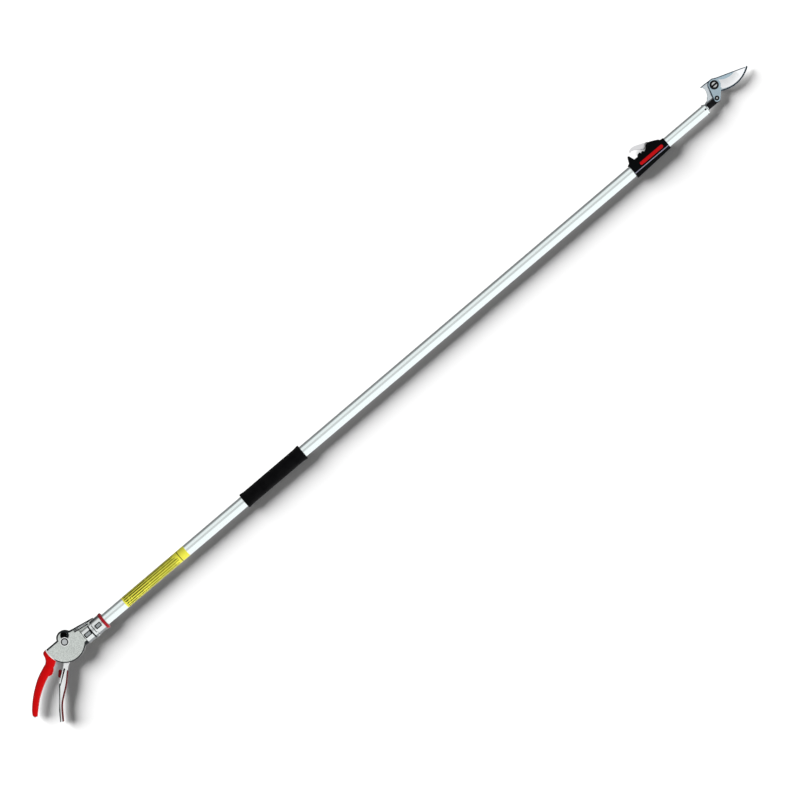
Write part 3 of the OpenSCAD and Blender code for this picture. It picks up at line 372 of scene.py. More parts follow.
def start_material(look):
    """Start a material. Returns it with its tree, its shader, its place, its tone and its grain."""
    material = bpy.data.materials.new(look.name)
    material.use_nodes = True
    tree = material.node_tree
    shader = tree.nodes["Principled BSDF"]
    shader.inputs["Metallic"].default_value = look.metallic
    shader.inputs["Specular IOR Level"].default_value = look.specular
    rgb = getattr(colours(), look.rgb)
    place = add_node(tree, "TexCoord").outputs["Object"]
    clouds = add_node(tree, "TexNoise", {"Vector": place, "Scale": 1 / (look.cloud * MM), "Detail": 4.0})
    tones = {6: tone(rgb, 1 - look.shade), 7: tone(rgb, 1 + look.shade)}
    shaded = add_node(tree, "Mix", {0: clouds, **tones}, data_type="RGBA")
    spread = [min(1.0, look.roughness * share) for share in GLOSS_SHARES]
    gloss = add_node(tree, "MapRange", dict(zip(RANGE, (clouds, *CLOUD_RANGE, *spread))))
    pulled = add_node(tree, "Mapping", {"Vector": place, "Scale": [1 / d for d in look.drawn]})
    grit = add_node(tree, "TexNoise", {"Vector": pulled, "Scale": 1 / (look.grain * MM), "Detail": 3.0})
    raised = add_node(tree, "Bump", {"Height": grit, "Distance": look.depth * MM})
    tree.links.new(shaded.outputs[2], shader.inputs["Base Color"])
    tree.links.new(gloss.outputs[0], shader.inputs["Roughness"])
    tree.links.new(raised.outputs[0], shader.inputs["Normal"])
    return SimpleNamespace(material=material, tree=tree, shader=shader, place=place, shaded=shaded.outputs[2],
                           grit=grit)


def beside(tree, place, origin):
    """Return a place as seen from another one."""
    return add_node(tree, "VectorMath", {0: place, 1: tuple(origin)}, operation="SUBTRACT")


def upright_distance(tree, local, centre):
    """Return how far a place lies from an upright axis."""
    level = add_node(tree, "VectorMath", {0: beside(tree, local, centre), 1: (1.0, 1.0, 0.0)},
                     operation="MULTIPLY")
    return add_node(tree, "VectorMath", {0: level}, operation="LENGTH").outputs["Value"]


def straight_edge(tree, local, width, corner, out, from_x, to_x):
    """Return the mask of a straight edge: a corner on it, the way out, and its span along the pole."""
    aside = beside(tree, local, corner)
    beyond = add_node(tree, "VectorMath", {0: aside, 1: out}, operation="DOT_PRODUCT")
    fade = [share * width for share in EDGE_FADE]
    near = add_node(tree, "MapRange", dict(zip(RANGE, (beyond.outputs["Value"], *fade))))
    along = add_node(tree, "SeparateXYZ", {0: aside})
    after = add_node(tree, "Math", {0: along, 1: from_x}, operation="GREATER_THAN")
    before = add_node(tree, "Math", {0: along, 1: to_x}, operation="LESS_THAN")
    span = add_node(tree, "Math", {0: after, 1: before}, operation="MULTIPLY")
    return add_node(tree, "Math", {0: span, 1: near}, operation="MULTIPLY")


def round_edge(tree, local, width, centre, radius, side, start):
    """Return the mask of a round edge: its centre and radius, and where it starts on one side."""
    rim = add_node(tree, "Math", {0: upright_distance(tree, local, centre), 1: radius - width},
                   operation="GREATER_THAN")
    reached = add_node(tree, "VectorMath", {0: local, 1: side}, operation="DOT_PRODUCT")
    beyond = add_node(tree, "Math", {0: reached.outputs["Value"], 1: start}, operation="GREATER_THAN")
    return add_node(tree, "Math", {0: rim, 1: beyond}, operation="MULTIPLY")


def darken(made, masks, rgb, shaded=None):
    """Lay a dark colour over a material, wherever one of the masks lies."""
    while len(masks) > 1:
        pair = {0: masks.pop(0), 1: masks.pop(0)}
        masks.append(add_node(made.tree, "Math", pair, operation="MAXIMUM"))
    lined = add_node(made.tree, "Mix", {0: masks[0], 6: shaded or made.shaded, 7: tone(rgb, 1.0)},
                     data_type="RGBA")
    made.tree.links.new(lined.outputs[2], made.shader.inputs["Base Color"])


def line_casting(made):
    """Speckle the casting with grit, and paint shade along its edges and in the pocket beside the bolt."""
    tree = made.tree
    speck = add_node(tree, "MapRange", dict(zip(RANGE, (made.grit, *GRIT_SHADES))))
    sparkle = add_node(tree, "Mix", {0: 1.0, 6: made.shaded, 7: speck}, data_type="RGBA",
                       blend_type="MULTIPLY")
    local = beside(tree, made.place, PIVOT)
    width = sizes().edge_line
    pocket = add_node(tree, "Math", {0: upright_distance(tree, local, POCKET_AT), 1: POCKET_R},
                      operation="LESS_THAN")
    masks = [straight_edge(tree, local, width, *line) for line in HOUSING_EDGES]
    masks += [round_edge(tree, local, width, *DOME_EDGE), pocket]
    darken(made, masks, colours().skin, sparkle.outputs[2])


def line_lever(made):
    """Paint shade along the back of the lever's foot."""
    local = beside(made.tree, made.place, PIVOT)
    masks = [straight_edge(made.tree, local, sizes().lever_line, *line) for line in LEVER_EDGES]
    darken(made, masks, colours().skin)


def print_film(made):
    """Print broken lines along the pole on the film, and a divider across it."""
    tree = made.tree
    low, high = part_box("label_band")
    divider_at = high[0] - low[0] - sizes().divider
    gap = sizes().line_gap
    axes = add_node(tree, "SeparateXYZ", {0: beside(tree, made.place, (low[0], AXIS.y, AXIS.z))})
    turn = add_node(tree, "Math", {0: axes.outputs[1], 1: axes.outputs[2]}, operation="ARCTAN2")
    arc = add_node(tree, "Math", {0: turn, 1: TUBE_R}, operation="MULTIPLY")
    across = add_node(tree, "Math", {0: arc, 1: gap / 2}, operation="PINGPONG")
    line = add_node(tree, "Math", {0: across, 1: sizes().line_width / 2}, operation="LESS_THAN")
    row = add_node(tree, "Math", {0: arc, 1: gap}, operation="SNAP")
    ragged = add_node(tree, "TexWhiteNoise", {"W": row}, noise_dimensions="1D")
    stops = [divider_at - before for before in LINE_STOP]
    stop = add_node(tree, "MapRange", dict(zip(RANGE, (ragged, 0.0, 1.0, *stops))))
    begun = add_node(tree, "Math", {0: axes, 1: LINE_START}, operation="GREATER_THAN")
    ended = add_node(tree, "Math", {0: axes, 1: stop}, operation="LESS_THAN")
    within = add_node(tree, "Math", {0: begun, 1: ended}, operation="MULTIPLY")
    stroke = add_node(tree, "Math", {0: axes, 1: sizes().stroke}, operation="SNAP")
    cell = add_node(tree, "CombineXYZ", {0: stroke, 1: row})
    chance = add_node(tree, "TexWhiteNoise", {"Vector": cell}, noise_dimensions="2D")
    held = add_node(tree, "Math", {0: chance, 1: LINE_HOLD}, operation="LESS_THAN")
    dashed = add_node(tree, "Math", {0: line, 1: held}, operation="MULTIPLY")
    ruled = add_node(tree, "Math", {0: dashed, 1: within}, operation="MULTIPLY")
    divider = add_node(tree, "Math", {0: axes, 1: divider_at, 2: DIVIDER_HALF}, operation="COMPARE")
    darken(made, [ruled, divider], colours().ink)


def pit_foam(made):
    """Pit the foam with cut cells, and give it a little sheen."""
    made.shader.inputs["Sheen Weight"].default_value = 0.02
    made.shader.inputs["Sheen Roughness"].default_value = 0.6
    cells = add_node(made.tree, "TexVoronoi", {"Vector": made.place, "Scale": 1 / FOAM_CELL})
    height = add_node(made.tree, "Math", {0: cells, 1: made.grit}, operation="ADD")
    pitted = add_node(made.tree, "Bump", {"Height": height, "Distance": FOAM_PIT})
    made.tree.links.new(pitted.outputs[0], made.shader.inputs["Normal"])


def line_plate(made):
    """Paint shade along the horn's edge and the rim of the hook."""
    local = beside(made.tree, made.place, BLADE_PIVOT)
    darken(made, [straight_edge(made.tree, local, sizes().plate_edge, *HORN_EDGE),
                  round_edge(made.tree, local, sizes().hook_edge, *HOOK_EDGE)], colours().edge)


def line_blade(made):
    """Paint shade on the blade along its spine and beside its boss and tail."""
    local = beside(made.tree, made.place, BLADE_PIVOT)
    width = sizes().plate_edge
    masks = [straight_edge(made.tree, local, width, *line) for line in (TAIL_EDGE, SHOULDER_EDGE, SPINE_EDGE)]
    darken(made, masks + [round_edge(made.tree, local, width, *BOSS_EDGE)], colours().edge)


def grind_face(made):
    """Draw the lines of the grinding wheel, and paint a line of shade along the spine."""
    tree = made.tree
    axes = add_node(tree, "SeparateXYZ", {0: beside(tree, made.place, BLADE_PIVOT + EDGE_CENTRE)})
    turn = add_node(tree, "Math", {0: axes.outputs[1], 1: axes.outputs[0]}, operation="ARCTAN2")
    marks = add_node(tree, "TexNoise", {"W": turn, "Scale": 1 / WHEEL_MARK}, noise_dimensions="1D")
    lines = add_node(tree, "Bump", {"Height": marks, "Distance": WHEEL_DEPTH})
    tree.links.new(lines.outputs[0], made.shader.inputs["Normal"])
    local = beside(tree, made.place, BLADE_PIVOT)
    darken(made, [straight_edge(tree, local, sizes().plate_edge, *SPINE_EDGE)], colours().edge)


# Finishes that differ from place to place
WORKED = {"cast_alloy": line_casting, "trigger_alloy": line_lever, "label_film": print_film,
          "sleeve_foam": pit_foam, "plate_steel": line_plate, "blade_steel": line_blade,
          "ground_face": grind_face}
MADE = {}


def finish(key):
    """Return the material of a finish, made once."""
    if key not in MADE:
        made = start_material(FINISHES[key])
        if key in WORKED:
            WORKED[key](made)
        MADE[key] = made.material
    return MADE[key]


def node_mesh(node):
    """Return a copy of a node's mesh with its loose triangles merged into whole faces."""
    mesh = bmesh.new()
    mesh.from_mesh(frame["nodes"][node].data)
    bmesh.ops.remove_doubles(mesh, verts=mesh.verts, dist=MERGE)
    bmesh.ops.dissolve_limit(mesh, angle_limit=FLAT, verts=mesh.verts, edges=mesh.edges)
    return mesh


def lathe(profile, start, axis, segments):
    """Spin a closed outline of distances along and from an axis, which runs from the start point."""
    mesh = bmesh.new()
    side = axis.orthogonal().normalized()
    points = [mesh.verts.new(start + axis * along + side * radius) for along, radius in profile]
    edges = [mesh.edges.new(pair) for pair in zip(points, points[1:] + points[:1])]
    bmesh.ops.spin(mesh, geom=points + edges, cent=start, axis=axis, angle=2 * math.pi, steps=segments,
                   use_merge=True)
    bmesh.ops.remove_doubles(mesh, verts=mesh.verts, dist=MERGE)
    bmesh.ops.recalc_face_normals(mesh, faces=mesh.faces)
    return mesh


def reach(face, centre):
    """Return the least and the greatest distance of a face's corners from an upright axis."""
    spans = [(vert.co - centre).xy.length for vert in face.verts]
    return min(spans), max(spans)


def looks_out(face, centre):
    """Tell whether a face looks away from an upright axis."""
    return face.normal.xy.dot((face.calc_center_median() - centre).xy) > 0


def mark(mesh, index, wanted):
    """Give the faces that are wanted the finish of an index."""
    for face in mesh.faces:
        if wanted(face):
            face.material_index = index


def chamfer(mesh, edges, width, index):
    """Break some edges of a mesh, and give the new faces the finish of an index."""
    bmesh.ops.bevel(mesh, geom=edges, offset=width, offset_type="OFFSET", segments=2, profile=0.5,
                    affect="EDGES", clamp_overlap=False, material=index)


def make_piece(node, mesh, finishes):
    """Turn a mesh into the piece that stands for a node."""
    data = bpy.data.meshes.new(node + "_piece")
    mesh.to_mesh(data)
    mesh.free()
    if "custom_normal" in data.attributes:
        data.attributes.remove(data.attributes["custom_normal"])
    for key in finishes:
        data.materials.append(finish(key))
    data.shade_smooth()
    data.set_sharp_from_angle(angle=SHARP)
    piece = bpy.data.objects.new(node + "_piece", data)
    piece.visible_diffuse = False
    bpy.context.scene.collection.objects.link(piece)
    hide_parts(node)
    return piece


def dress(node, edge, mesh=None, finishes=None, rim=None, segments=2):
    """Stand a piece with rounded edges in for a node, with an own finish on its rims where one is given."""
    keys = finishes or [SLOT_OF[node]]
    piece = make_piece(node, mesh or node_mesh(node), keys + ([rim] if rim else []))
    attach(piece, BODY_OF[node])
    rounded = piece.modifiers.new("Rounded edges", "BEVEL")
    rounded.width = edge
    rounded.segments = segments
    rounded.limit_method = "ANGLE"
    rounded.angle_limit = SHARP
    rounded.harden_normals = True
    rounded.material = len(keys) if rim else -1
    return piece


def paint(node):
    """Give a node that keeps its own shape the finish of its slot."""
    for slot in frame["nodes"][node].material_slots:
        slot.material = finish(SLOT_OF[node])


class PRUNER_OT_stage(bpy.types.Operator):
    """Set up the floor, the soft light and the camera that looks straight down"""
    bl_idname = "pruner.stage"
    bl_label = "Stage"

    # Half the floor's width, and the gap that keeps it clear of the tool
    floor_half = 12.0
    floor_gap = 0.2 * MM
    paper_white = 0.93
    # Half the width over which the card that metal sees turns, and its strength on its two sides
    card_turn = 10 * MM
    card_low = 1.1
    card_high = 0.25
    # Lean of the tent's opening over the camera, and the angles at which it starts and is full
    opening_lean = math.radians(3.0)
    opening_edge = math.radians(25.0)
    opening_full = math.radians(10.0)
    opening_shades = (1.0, 0.6)
    # Ranges of the way to the tent's sides and its foot, with its shades there
    side_shades = (-0.2, 0.6, 1.1, 0.95)
    foot_shades = (0.0, 0.4, 0.2, 1.0)
    facing_range = (0.0, 0.4)

    def execute(self, context):
        stage = context.scene.pruner_stage
        self.lay_floor()
        self.light(context.scene, stage)
        self.aim(context.scene, stage)
        return {"FINISHED"}

    def lay_floor(self):
        mesh = bmesh.new()
        bmesh.ops.create_grid(mesh, x_segments=1, y_segments=1, size=self.floor_half,
                              matrix=Matrix.Translation((0.0, 0.0, -self.floor_gap)))
        data = bpy.data.meshes.new("floor")
        mesh.to_mesh(data)
        mesh.free()
        floor = bpy.data.objects.new("floor", data)
        bpy.context.scene.collection.objects.link(floor)
        data.materials.append(self.paper())

    def paper(self):
        """White paper, which shiny metal sees as an even card, darker on the side of the main light."""
        material = bpy.data.materials.new("Seamless white paper")
        material.use_nodes = True
        tree = material.node_tree
        shader = tree.nodes["Principled BSDF"]
        shader.inputs["Base Color"].default_value = (*[self.paper_white] * 3, 1.0)
        shader.inputs["Roughness"].default_value = 0.9
        place = add_node(tree, "TexCoord").outputs["Object"]
        side = add_node(tree, "SeparateXYZ", {0: place}).outputs[1]
        turn = (AXIS.y - self.card_turn, AXIS.y + self.card_turn, self.card_low, self.card_high)
        card = add_node(tree, "MapRange", dict(zip(RANGE, (side, *turn))))
        glow = add_node(tree, "Emission", {"Strength": card})
        ray = add_node(tree, "LightPath")
        seen = add_node(tree, "MixShader", {0: ray.outputs["Is Glossy Ray"], 1: shader, 2: glow})
        tree.links.new(seen.outputs[0], tree.nodes["Material Output"].inputs["Surface"])
        return material

    def light(self, scene, stage):
        scene.view_settings.view_transform = "Standard"
        world = bpy.data.worlds.new("Soft studio")
        scene.world = world
        world.use_nodes = True
        world.cycles.sampling_method = "NONE"
        tree = world.node_tree
        background = tree.nodes["Background"]
        ray = add_node(tree, "LightPath")
        shiny = add_node(tree, "Mix", {0: ray.outputs["Is Glossy Ray"], 2: stage.fill, 3: self.tent(tree)})
        seen = add_node(tree, "Mix", {0: ray.outputs["Is Camera Ray"], 2: shiny, 3: 1.0})
        tree.links.new(seen.outputs[0], background.inputs["Strength"])
        background.inputs["Color"].default_value = (1.0, 1.0, 1.0, 1.0)
        self.lamp(scene, "Floor light", stage.sun, stage.sun_size,
                  (stage.sun_height - math.pi / 2, 0.0, stage.sun_turn), "INCLUDE")
        self.lamp(scene, "Key light", stage.key, stage.key_size,
                  (math.pi / 2 - stage.key_height, 0.0, 0.0), "EXCLUDE")

    def tent(self, tree):
        """White tent that shiny metal sees: dim at the opening over the camera and low on one side."""
        way = add_node(tree, "TexCoord").outputs["Generated"]
        lean = (0.0, math.sin(self.opening_lean), math.cos(self.opening_lean))
        over = add_node(tree, "VectorMath", {0: way, 1: lean}, operation="DOT_PRODUCT")
        edges = (math.cos(self.opening_edge), math.cos(self.opening_full))
        opening = add_node(tree, "MapRange",
                           dict(zip(RANGE, (over.outputs["Value"], *edges, *self.opening_shades))),
                           interpolation_type="SMOOTHSTEP")
        axes = add_node(tree, "SeparateXYZ", {0: way})
        side = add_node(tree, "MapRange", dict(zip(RANGE, (axes.outputs[1], *self.side_shades))))
        low = add_node(tree, "MapRange", dict(zip(RANGE, (axes.outputs[2], *self.foot_shades))))
        facing = add_node(tree, "MapRange", dict(zip(RANGE, (axes.outputs[1], *self.facing_range))))
        dusk = add_node(tree, "Mix", {0: facing, 2: 1.0, 3: low})
        bright = add_node(tree, "Math", {0: opening, 1: side}, operation="MULTIPLY")
        return add_node(tree, "Math", {0: bright, 1: dusk}, operation="MULTIPLY")

    def lamp(self, scene, name, energy, size, turn, floor_link):
        """Add a soft sun that lights only the floor, or only what stands on it."""
        data = bpy.data.lights.new(name, "SUN")
        data.energy = energy
        data.angle = size
        sun = bpy.data.objects.new(name, data)
        sun.rotation_euler = turn
        sun.visible_glossy = False
        scene.collection.objects.link(sun)
        lit = bpy.data.collections.new(name + " receivers")
        lit.objects.link(bpy.data.objects["floor"])
        lit.collection_objects[0].light_linking.link_state = floor_link
        sun.light_linking.receiver_collection = lit

    def aim(self, scene, stage):
        data = bpy.data.cameras.new("Camera")
        data.sensor_width = 36.0
        data.lens = data.sensor_width * stage.camera_height / stage.frame_width
        camera = bpy.data.objects.new("Camera", data)
        camera.location = (PIVOT.x + stage.aim[0], PIVOT.y + stage.aim[1], stage.camera_height)
        camera.rotation_euler = (0.0, 0.0, stage.turn)
        scene.collection.objects.link(camera)
        scene.camera = camera


class PRUNER_OT_tubes(bpy.types.Operator):
    """Finish the two tubes of the pole"""
    bl_idname = "pruner.tubes"
    bl_label = "Tubes"

    def execute(self, context):
        for node in ("outer_tube", "inner_tube"):
            dress(node, sizes().tube_edge)
        return {"FINISHED"}


class PRUNER_OT_rods(bpy.types.Operator):
    """Finish the pull rods and the bushes inside the pole"""
    bl_idname = "pruner.rods"
    bl_label = "Rods and bushes"

    def execute(self, context):
        for node in ("lower_rod", "upper_rod", "guide_bush", "slider_bush", "trigger_bush"):
            paint(node)
        for node in ("rod_eye", "rod_lock", "yoke_pin", "rod_end"):
            dress(node, sizes().steel_edge)
        return {"FINISHED"}


class PRUNER_OT_housing(bpy.types.Operator):
    """Finish the cast housing, its screws and the trigger's bolt"""
    bl_idname = "pruner.housing"
    bl_label = "Housing"

    def execute(self, context):
        for node in ("housing_near", "housing_far"):
            mesh = node_mesh(node)
            self.mark_boss(mesh)
            # The housing's bevels take the trimmed rim finish, partly a painted highlight
            dress(node, sizes().cast_edge, mesh=mesh, rim="trimmed_casting",
                  finishes=["cast_alloy", "painted_shade_alloy", "trimmed_casting", "painted_wall_shade"])
        for node in ("housing_screws", "trigger_nut"):
            dress(node, sizes().steel_edge)
        dress("trigger_bolt", 2 * sizes().steel_edge, segments=3)
        return {"FINISHED"}

    def mark_boss(self, mesh):
        """Paint shade on the walls, on the works inside and in the recess round the bolt, and a highlight,
        partly trimmed metal, on the rims and the boss.
        """
        centre = middle("housing_near")
        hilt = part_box("grip_cover")[1][0]
        mark(mesh, 2, lambda face: abs(face.normal.z) < RIM_RISE and looks_out(face, centre))
        mark(mesh, 3, lambda face: abs(face.normal.z) < SIDE_RISE and looks_out(face, centre)
             and face.calc_center_median().x > hilt)
        mark(mesh, 1, lambda face: face.normal.z * (face.calc_center_median().z - AXIS.z) < -SLACK
             and reach(face, PIVOT)[1] < CAVITY_R)
        mark(mesh, 2, lambda face: reach(face, PIVOT)[0] > RECESS_R - SLACK
             and reach(face, PIVOT)[1] < BOSS_R)
        mark(mesh, 1, lambda face: reach(face, PIVOT)[1] < RECESS_R + SLACK)


class PRUNER_OT_grip(bpy.types.Operator):
    """Finish the red grip, its steel core and its stop bumper"""
    bl_idname = "pruner.grip"
    bl_label = "Grip"

    def execute(self, context):
        dress("grip_core", sizes().steel_edge)
        dress("grip_cover", sizes().rubber_edge / 2)
        dress("grip_bumper", sizes().rubber_edge, segments=3, finishes=["inlay_plastic"])
        return {"FINISHED"}


class PRUNER_OT_trigger(bpy.types.Operator):
    """Finish the trigger, its finger pad and its bumper"""
    bl_idname = "pruner.trigger"
    bl_label = "Trigger"

    def execute(self, context):
        mesh = node_mesh("trigger")
        # Painted shade on the part in the housing and on the inner faces, and on the trigger's rims
        mark(mesh, 1, lambda face: reach(face, PIVOT)[1] < WORKS_R
             or face.normal.z * (face.calc_center_median().z - AXIS.z) < -SLACK)
        dress("trigger", sizes().trigger_edge, mesh=mesh, finishes=["trigger_alloy", "painted_shade_alloy"],
              rim="painted_wall_shade")
        for node in ("finger_pad", "trigger_bumper"):
            dress(node, sizes().rubber_edge, segments=3)
        return {"FINISHED"}


class PRUNER_OT_return_spring(bpy.types.Operator):
    """Wind the return spring from the trigger's finger to the end of its channel"""
    bl_idname = "pruner.return_spring"
    bl_label = "Return spring"

    wire_sides = 10
    steps_a_turn = 24
    # Distances along the spring between which it comes to move with the trigger
    still_from = 8 * MM
    carried_to = 1 * MM

    def execute(self, context):
        low, high = (Vector(corner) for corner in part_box("return_spring"))
        wire = sizes().wire
        radius = (high.z - low.z - wire) / 2
        slope = math.atan2(high.y - low.y - 2 * radius - wire, high.x - low.x)
        axis = Vector((math.cos(slope), -math.sin(slope), 0.0))
        outer = radius + wire / 2
        start = Vector((low.x + outer * math.sin(slope), high.y - outer * math.cos(slope),
                        (low.z + high.z) / 2))
        run = (high.x - low.x) / math.cos(slope) - 2 * outer * math.tan(slope) - wire
        mesh = self.wind(start + axis * wire / 2, axis, radius, wire, run)
        piece = make_piece("return_spring", mesh, ["spring_steel"])
        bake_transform(piece)
        return {"FINISHED"}

    def wind(self, start, axis, radius, wire, run):
        turns = sizes().spring_turns
        steps = turns * self.steps_a_turn
        mesh = bmesh.new()
        place = Matrix((UP, axis, UP.cross(axis))).transposed().to_4x4()
        place.translation = start + UP * radius
        ring = bmesh.ops.create_circle(mesh, segments=self.wire_sides, radius=wire / 2, matrix=place)
        bmesh.ops.spin(mesh, geom=ring["verts"] + mesh.edges[:], cent=start, axis=axis,
                       dvec=axis * run / steps, angle=2 * math.pi * turns, steps=steps)
        bmesh.ops.remove_doubles(mesh, verts=mesh.verts, dist=MERGE)
        bmesh.ops.holes_fill(mesh, edges=[edge for edge in mesh.edges if edge.is_boundary])
        bmesh.ops.recalc_face_normals(mesh, faces=mesh.faces)
        return mesh


class PRUNER_OT_collars(bpy.types.Operator):
    """Finish the two bright collars, with painted shade in the windows, on the sides and before the lip, and
    the red ring
    """
    bl_idname = "pruner.collars"
    bl_label = "Collars and ring"

    # Least depth of the windows, and how far the painted shade on the outer skin reaches in
    sunk = 2 * MM
    skin = 1 * MM

    def execute(self, context):
        barrel = extent("lock_collar").z / 2
        for node in ("socket_collar", "lock_collar"):
            mesh = node_mesh(node)
            self.shade_windows(mesh, extent(node).z / 2)
            self.shade_sides(mesh, barrel)
            if node == "socket_collar":
                self.line_lip(mesh, barrel)
            # The collars' chamfers take black as painted shade
            dress(node, sizes().collar_edge, mesh=mesh, rim="black_steel",
                  finishes=["collar_chrome", "black_steel", "milled_window", "dull_nickel"])
        dress("red_ring", sizes().steel_edge)
        return {"FINISHED"}

    def shade_windows(self, mesh, outer):
        """Paint black shade on what lies sunk in the collar, and leave each window's floor grey within a
        border of painted shade.
        """
        mark(mesh, 1, lambda face: TUBE_R + SLACK < self.out_of(face.calc_center_median()).length
             < outer - self.sunk)
        floors = [face for face in mesh.faces if face.material_index == 1 and len(face.verts) == 4
                  and abs(face.normal.x) < 1 - LEVEL_RISE
                  and face.normal.dot(self.out_of(face.calc_center_median()).normalized()) > SIDE_RISE]
        bmesh.ops.inset_individual(mesh, faces=floors, thickness=sizes().window_border)
        for face in floors:
            face.material_index = 2

    def shade_sides(self, mesh, outer):
        """Paint shade on the sides of the collar, outside its bright crown."""
        mark(mesh, 3, lambda face: self.out_of(face.calc_center_median()).length > outer - self.skin
             and abs(face.calc_center_median().y - AXIS.y) > sizes().collar_crown)

    def line_lip(self, mesh, barrel):
        """Paint a black line of shade round the barrel, before the lip that stands proud of it."""
        lip = min(vert.co.x for vert in mesh.verts if self.out_of(vert.co).length > barrel + SLACK)
        start = lip - sizes().lip_line
        bmesh.ops.bisect_plane(mesh, geom=[*mesh.verts, *mesh.edges, *mesh.faces], plane_co=ALONG * start,
                               plane_no=ALONG)
        mark(mesh, 1, lambda face: start < face.calc_center_median().x < lip
             and self.out_of(face.calc_center_median()).length > barrel - self.skin)

    def out_of(self, place):
        """Return the way from the pole's axis to a place."""
        return Vector((0.0, place.y - AXIS.y, place.z - AXIS.z))


class PRUNER_OT_label(bpy.types.Operator):
    """Print the yellow label band"""
    bl_idname = "pruner.label"
    bl_label = "Label band"

    film_edge = 0.04 * MM

    def execute(self, context):
        dress("label_band", self.film_edge, segments=1)
        return {"FINISHED"}


class PRUNER_OT_sleeve(bpy.types.Operator):
    """Shape the foam sleeve, with flared ends and a slightly uneven skin"""
    bl_idname = "pruner.sleeve"
    bl_label = "Foam sleeve"

    rings = 96
    segments = 96
    patch_size = 12 * MM

    def execute(self, context):
        low, high = (Vector(corner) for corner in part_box("foam_sleeve"))
        start = Vector((low.x, AXIS.y, AXIS.z))
        span = high.x - low.x
        rim = (high.z - low.z) / 2
        mesh = lathe(self.outline(span, rim), start, ALONG, self.segments)
        self.swell(mesh, start)
        piece = make_piece("foam_sleeve", mesh, ["sleeve_foam"])
        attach(piece, BODY_OF["foam_sleeve"])
        return {"FINISHED"}

    def outline(self, span, rim):
        """Radius of the skin along the sleeve, from one end of the bore round to the other."""
        waist = TUBE_R + sizes().sleeve_wall
        edge = sizes().sleeve_edge
        points = [(0.0, TUBE_R)]
        for i in range(self.rings + 1):
            along = span * (1 - math.cos(math.pi * i / self.rings)) / 2
            inward = min(along, span - along)
            open_by = (1 + math.cos(math.pi * min(1.0, inward / sizes().sleeve_lead))) / 2
            round_by = edge - math.sqrt(max(0.0, edge ** 2 - max(0.0, edge - inward) ** 2))
            points.append((along, waist + (rim - waist) * open_by - round_by))
        return points + [(span, TUBE_R)]

    def swell(self, mesh, start):
        """Push the skin in by a little, in soft patches, and leave the bore alone."""
        for vert in mesh.verts:
            out = Vector((0.0, vert.co.y - start.y, vert.co.z - start.z))
            if out.length > TUBE_R + sizes().sleeve_wall / 2:
                patch = 0.5 + 0.5 * noise.noise((vert.co - start) / self.patch_size)
                vert.co -= out.normalized() * sizes().sleeve_swell * patch


class PRUNER_OT_clamp(bpy.types.Operator):
    """Finish the clamp, its inlay, its flip lever, the lever's pin and the brake pad"""
    bl_idname = "pruner.clamp"
    bl_label = "Clamp"

    # Upright part of the normals on the slope and the flat face at the crease, and the crease's least length
    slope_rise = 0.1
    flat_rise = 0.97
    crease_length = 20 * MM

    def execute(self, context):
        mesh = node_mesh("clamp_body")
        crease = [edge for edge in mesh.edges if len(edge.link_faces) == 2 and self.is_crease(edge)]
        # The chamfered crease takes the painted highlight
        chamfer(mesh, crease, sizes().crease, 1)
        dress("clamp_body", sizes().plastic_edge, mesh=mesh, segments=3,
              finishes=["clamp_plastic", "rubbed_nylon"])
        dress("clamp_inlay", sizes().plastic_edge / 2, segments=3)
        dress("clamp_lever", sizes().plastic_edge, segments=3)
        dress("lever_pin", sizes().steel_edge, finishes=["black_steel"])
        dress("brake_pad", sizes().steel_edge)
        return {"FINISHED"}

    def is_crease(self, edge):
        """Tell whether an edge runs along the clamp between a flat face and the slope under it."""
        rises = sorted(abs(face.normal.z) for face in edge.link_faces)
        lies_low = max(vert.co.y for vert in edge.verts) < AXIS.y
        is_fold = self.slope_rise < rises[0] < self.flat_rise < rises[1]
        return lies_low and is_fold and edge.calc_length() > self.crease_length


class PRUNER_OT_head(bpy.types.Operator):
    """Finish the head's plug and rivets, the counter blade and the blade's bolt"""
    bl_idname = "pruner.head"
    bl_label = "Head"

    def execute(self, context):
        for node in ("head_plug", "blade_nut", "blade_washer", "plate_rivets", "head_rivets",
                     "counter_blade"):
            dress(node, sizes().steel_edge)
        mesh = node_mesh("blade_bolt")
        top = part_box("blade_bolt")[1][2]
        crown = [face for face in mesh.faces if min(vert.co.z for vert in face.verts) > top - MERGE]
        bmesh.ops.inset_region(mesh, faces=crown, thickness=sizes().bolt_edge, use_even_offset=True)
        for face in crown:
            face.material_index = 1
        dress("blade_bolt", sizes().steel_edge, mesh=mesh, segments=3,
              finishes=["black_steel", "collar_chrome"])
        return {"FINISHED"}


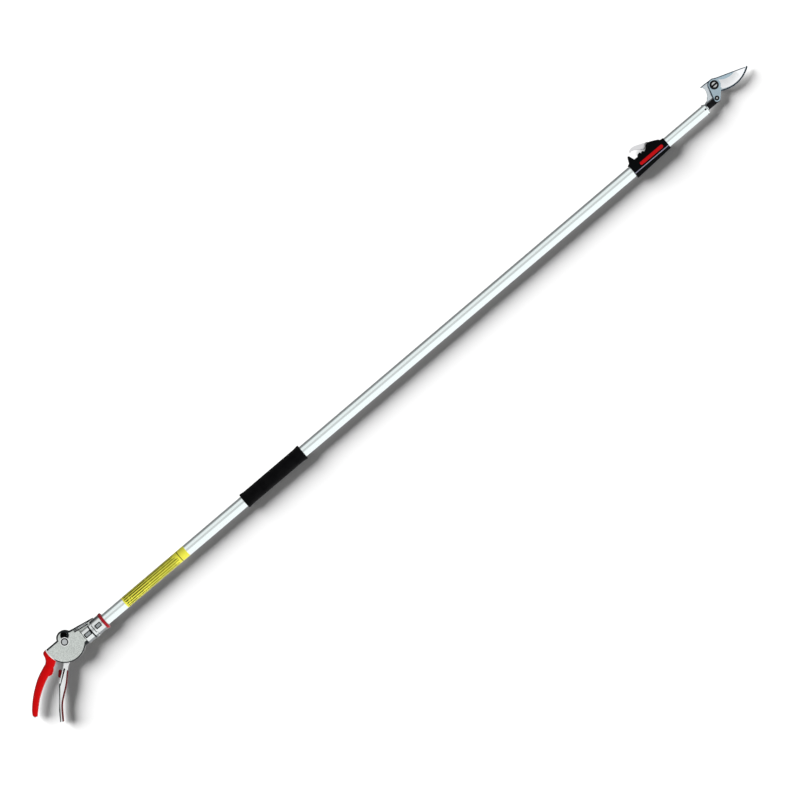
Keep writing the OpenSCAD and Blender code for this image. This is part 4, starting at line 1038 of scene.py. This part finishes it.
class PRUNER_OT_blade(bpy.types.Operator):
    """Finish the cutting blade, with a polished ground face, and its tail pin"""
    bl_idname = "pruner.blade"
    bl_label = "Blade"

    # Least and greatest rise of the ground face, as the upright part of its normal
    ground_rise = (LEVEL_RISE, 0.9995)

    def execute(self, context):
        mesh = node_mesh("blade")
        mark(mesh, 1, lambda face: self.ground_rise[0] < face.normal.z < self.ground_rise[1])
        dress("blade", sizes().steel_edge / 2, mesh=mesh, finishes=["blade_steel", "ground_face"])
        mesh = node_mesh("tail_pin")
        centre = middle("tail_pin")
        mark(mesh, 1, lambda face: face.normal.z > LEVEL_RISE and reach(face, centre)[1] < DIMPLE_R)
        dress("tail_pin", sizes().steel_edge, mesh=mesh, segments=3,
              finishes=["black_steel", "collar_chrome"])
        return {"FINISHED"}


class PRUNER_PT_panel(bpy.types.Panel):
    """Lists the steps that dress the pruner"""
    bl_idname = "PRUNER_PT_panel"
    bl_label = "Tree pruner pole"
    bl_space_type = "VIEW_3D"
    bl_region_type = "UI"
    bl_category = "Pruner"

    def draw(self, context):
        for group in ("pruner_sizes", "pruner_colours", "pruner_stage"):
            values = getattr(context.scene, group)
            for field in values.bl_rna.properties:
                if field.identifier not in ("rna_type", "name"):
                    self.layout.prop(values, field.identifier)
        for step in STEPS:
            self.layout.operator(step.bl_idname)


GROUPS = {"pruner_sizes": PrunerSizes, "pruner_colours": PrunerColours, "pruner_stage": PrunerStage}
STEPS = (PRUNER_OT_stage, PRUNER_OT_tubes, PRUNER_OT_rods, PRUNER_OT_housing, PRUNER_OT_grip,
         PRUNER_OT_trigger, PRUNER_OT_return_spring, PRUNER_OT_collars, PRUNER_OT_label, PRUNER_OT_sleeve,
         PRUNER_OT_clamp, PRUNER_OT_head, PRUNER_OT_blade)


def register():
    """Add the classes and the values that they read."""
    for group in (*GROUPS.values(), *STEPS, PRUNER_PT_panel):
        bpy.utils.register_class(group)
    for field, group in GROUPS.items():
        setattr(bpy.types.Scene, field, bpy.props.PointerProperty(type=group))


def unregister():
    """Take the values and the classes away again."""
    for field in GROUPS:
        delattr(bpy.types.Scene, field)
    for group in (PRUNER_PT_panel, *reversed(STEPS), *GROUPS.values()):
        bpy.utils.unregister_class(group)


def main():
    """Dress the pruner."""
    register()
    for step in STEPS:
        getattr(bpy.ops.pruner, step.bl_idname.split(".")[1])()


if __name__ == "__main__":
    main()
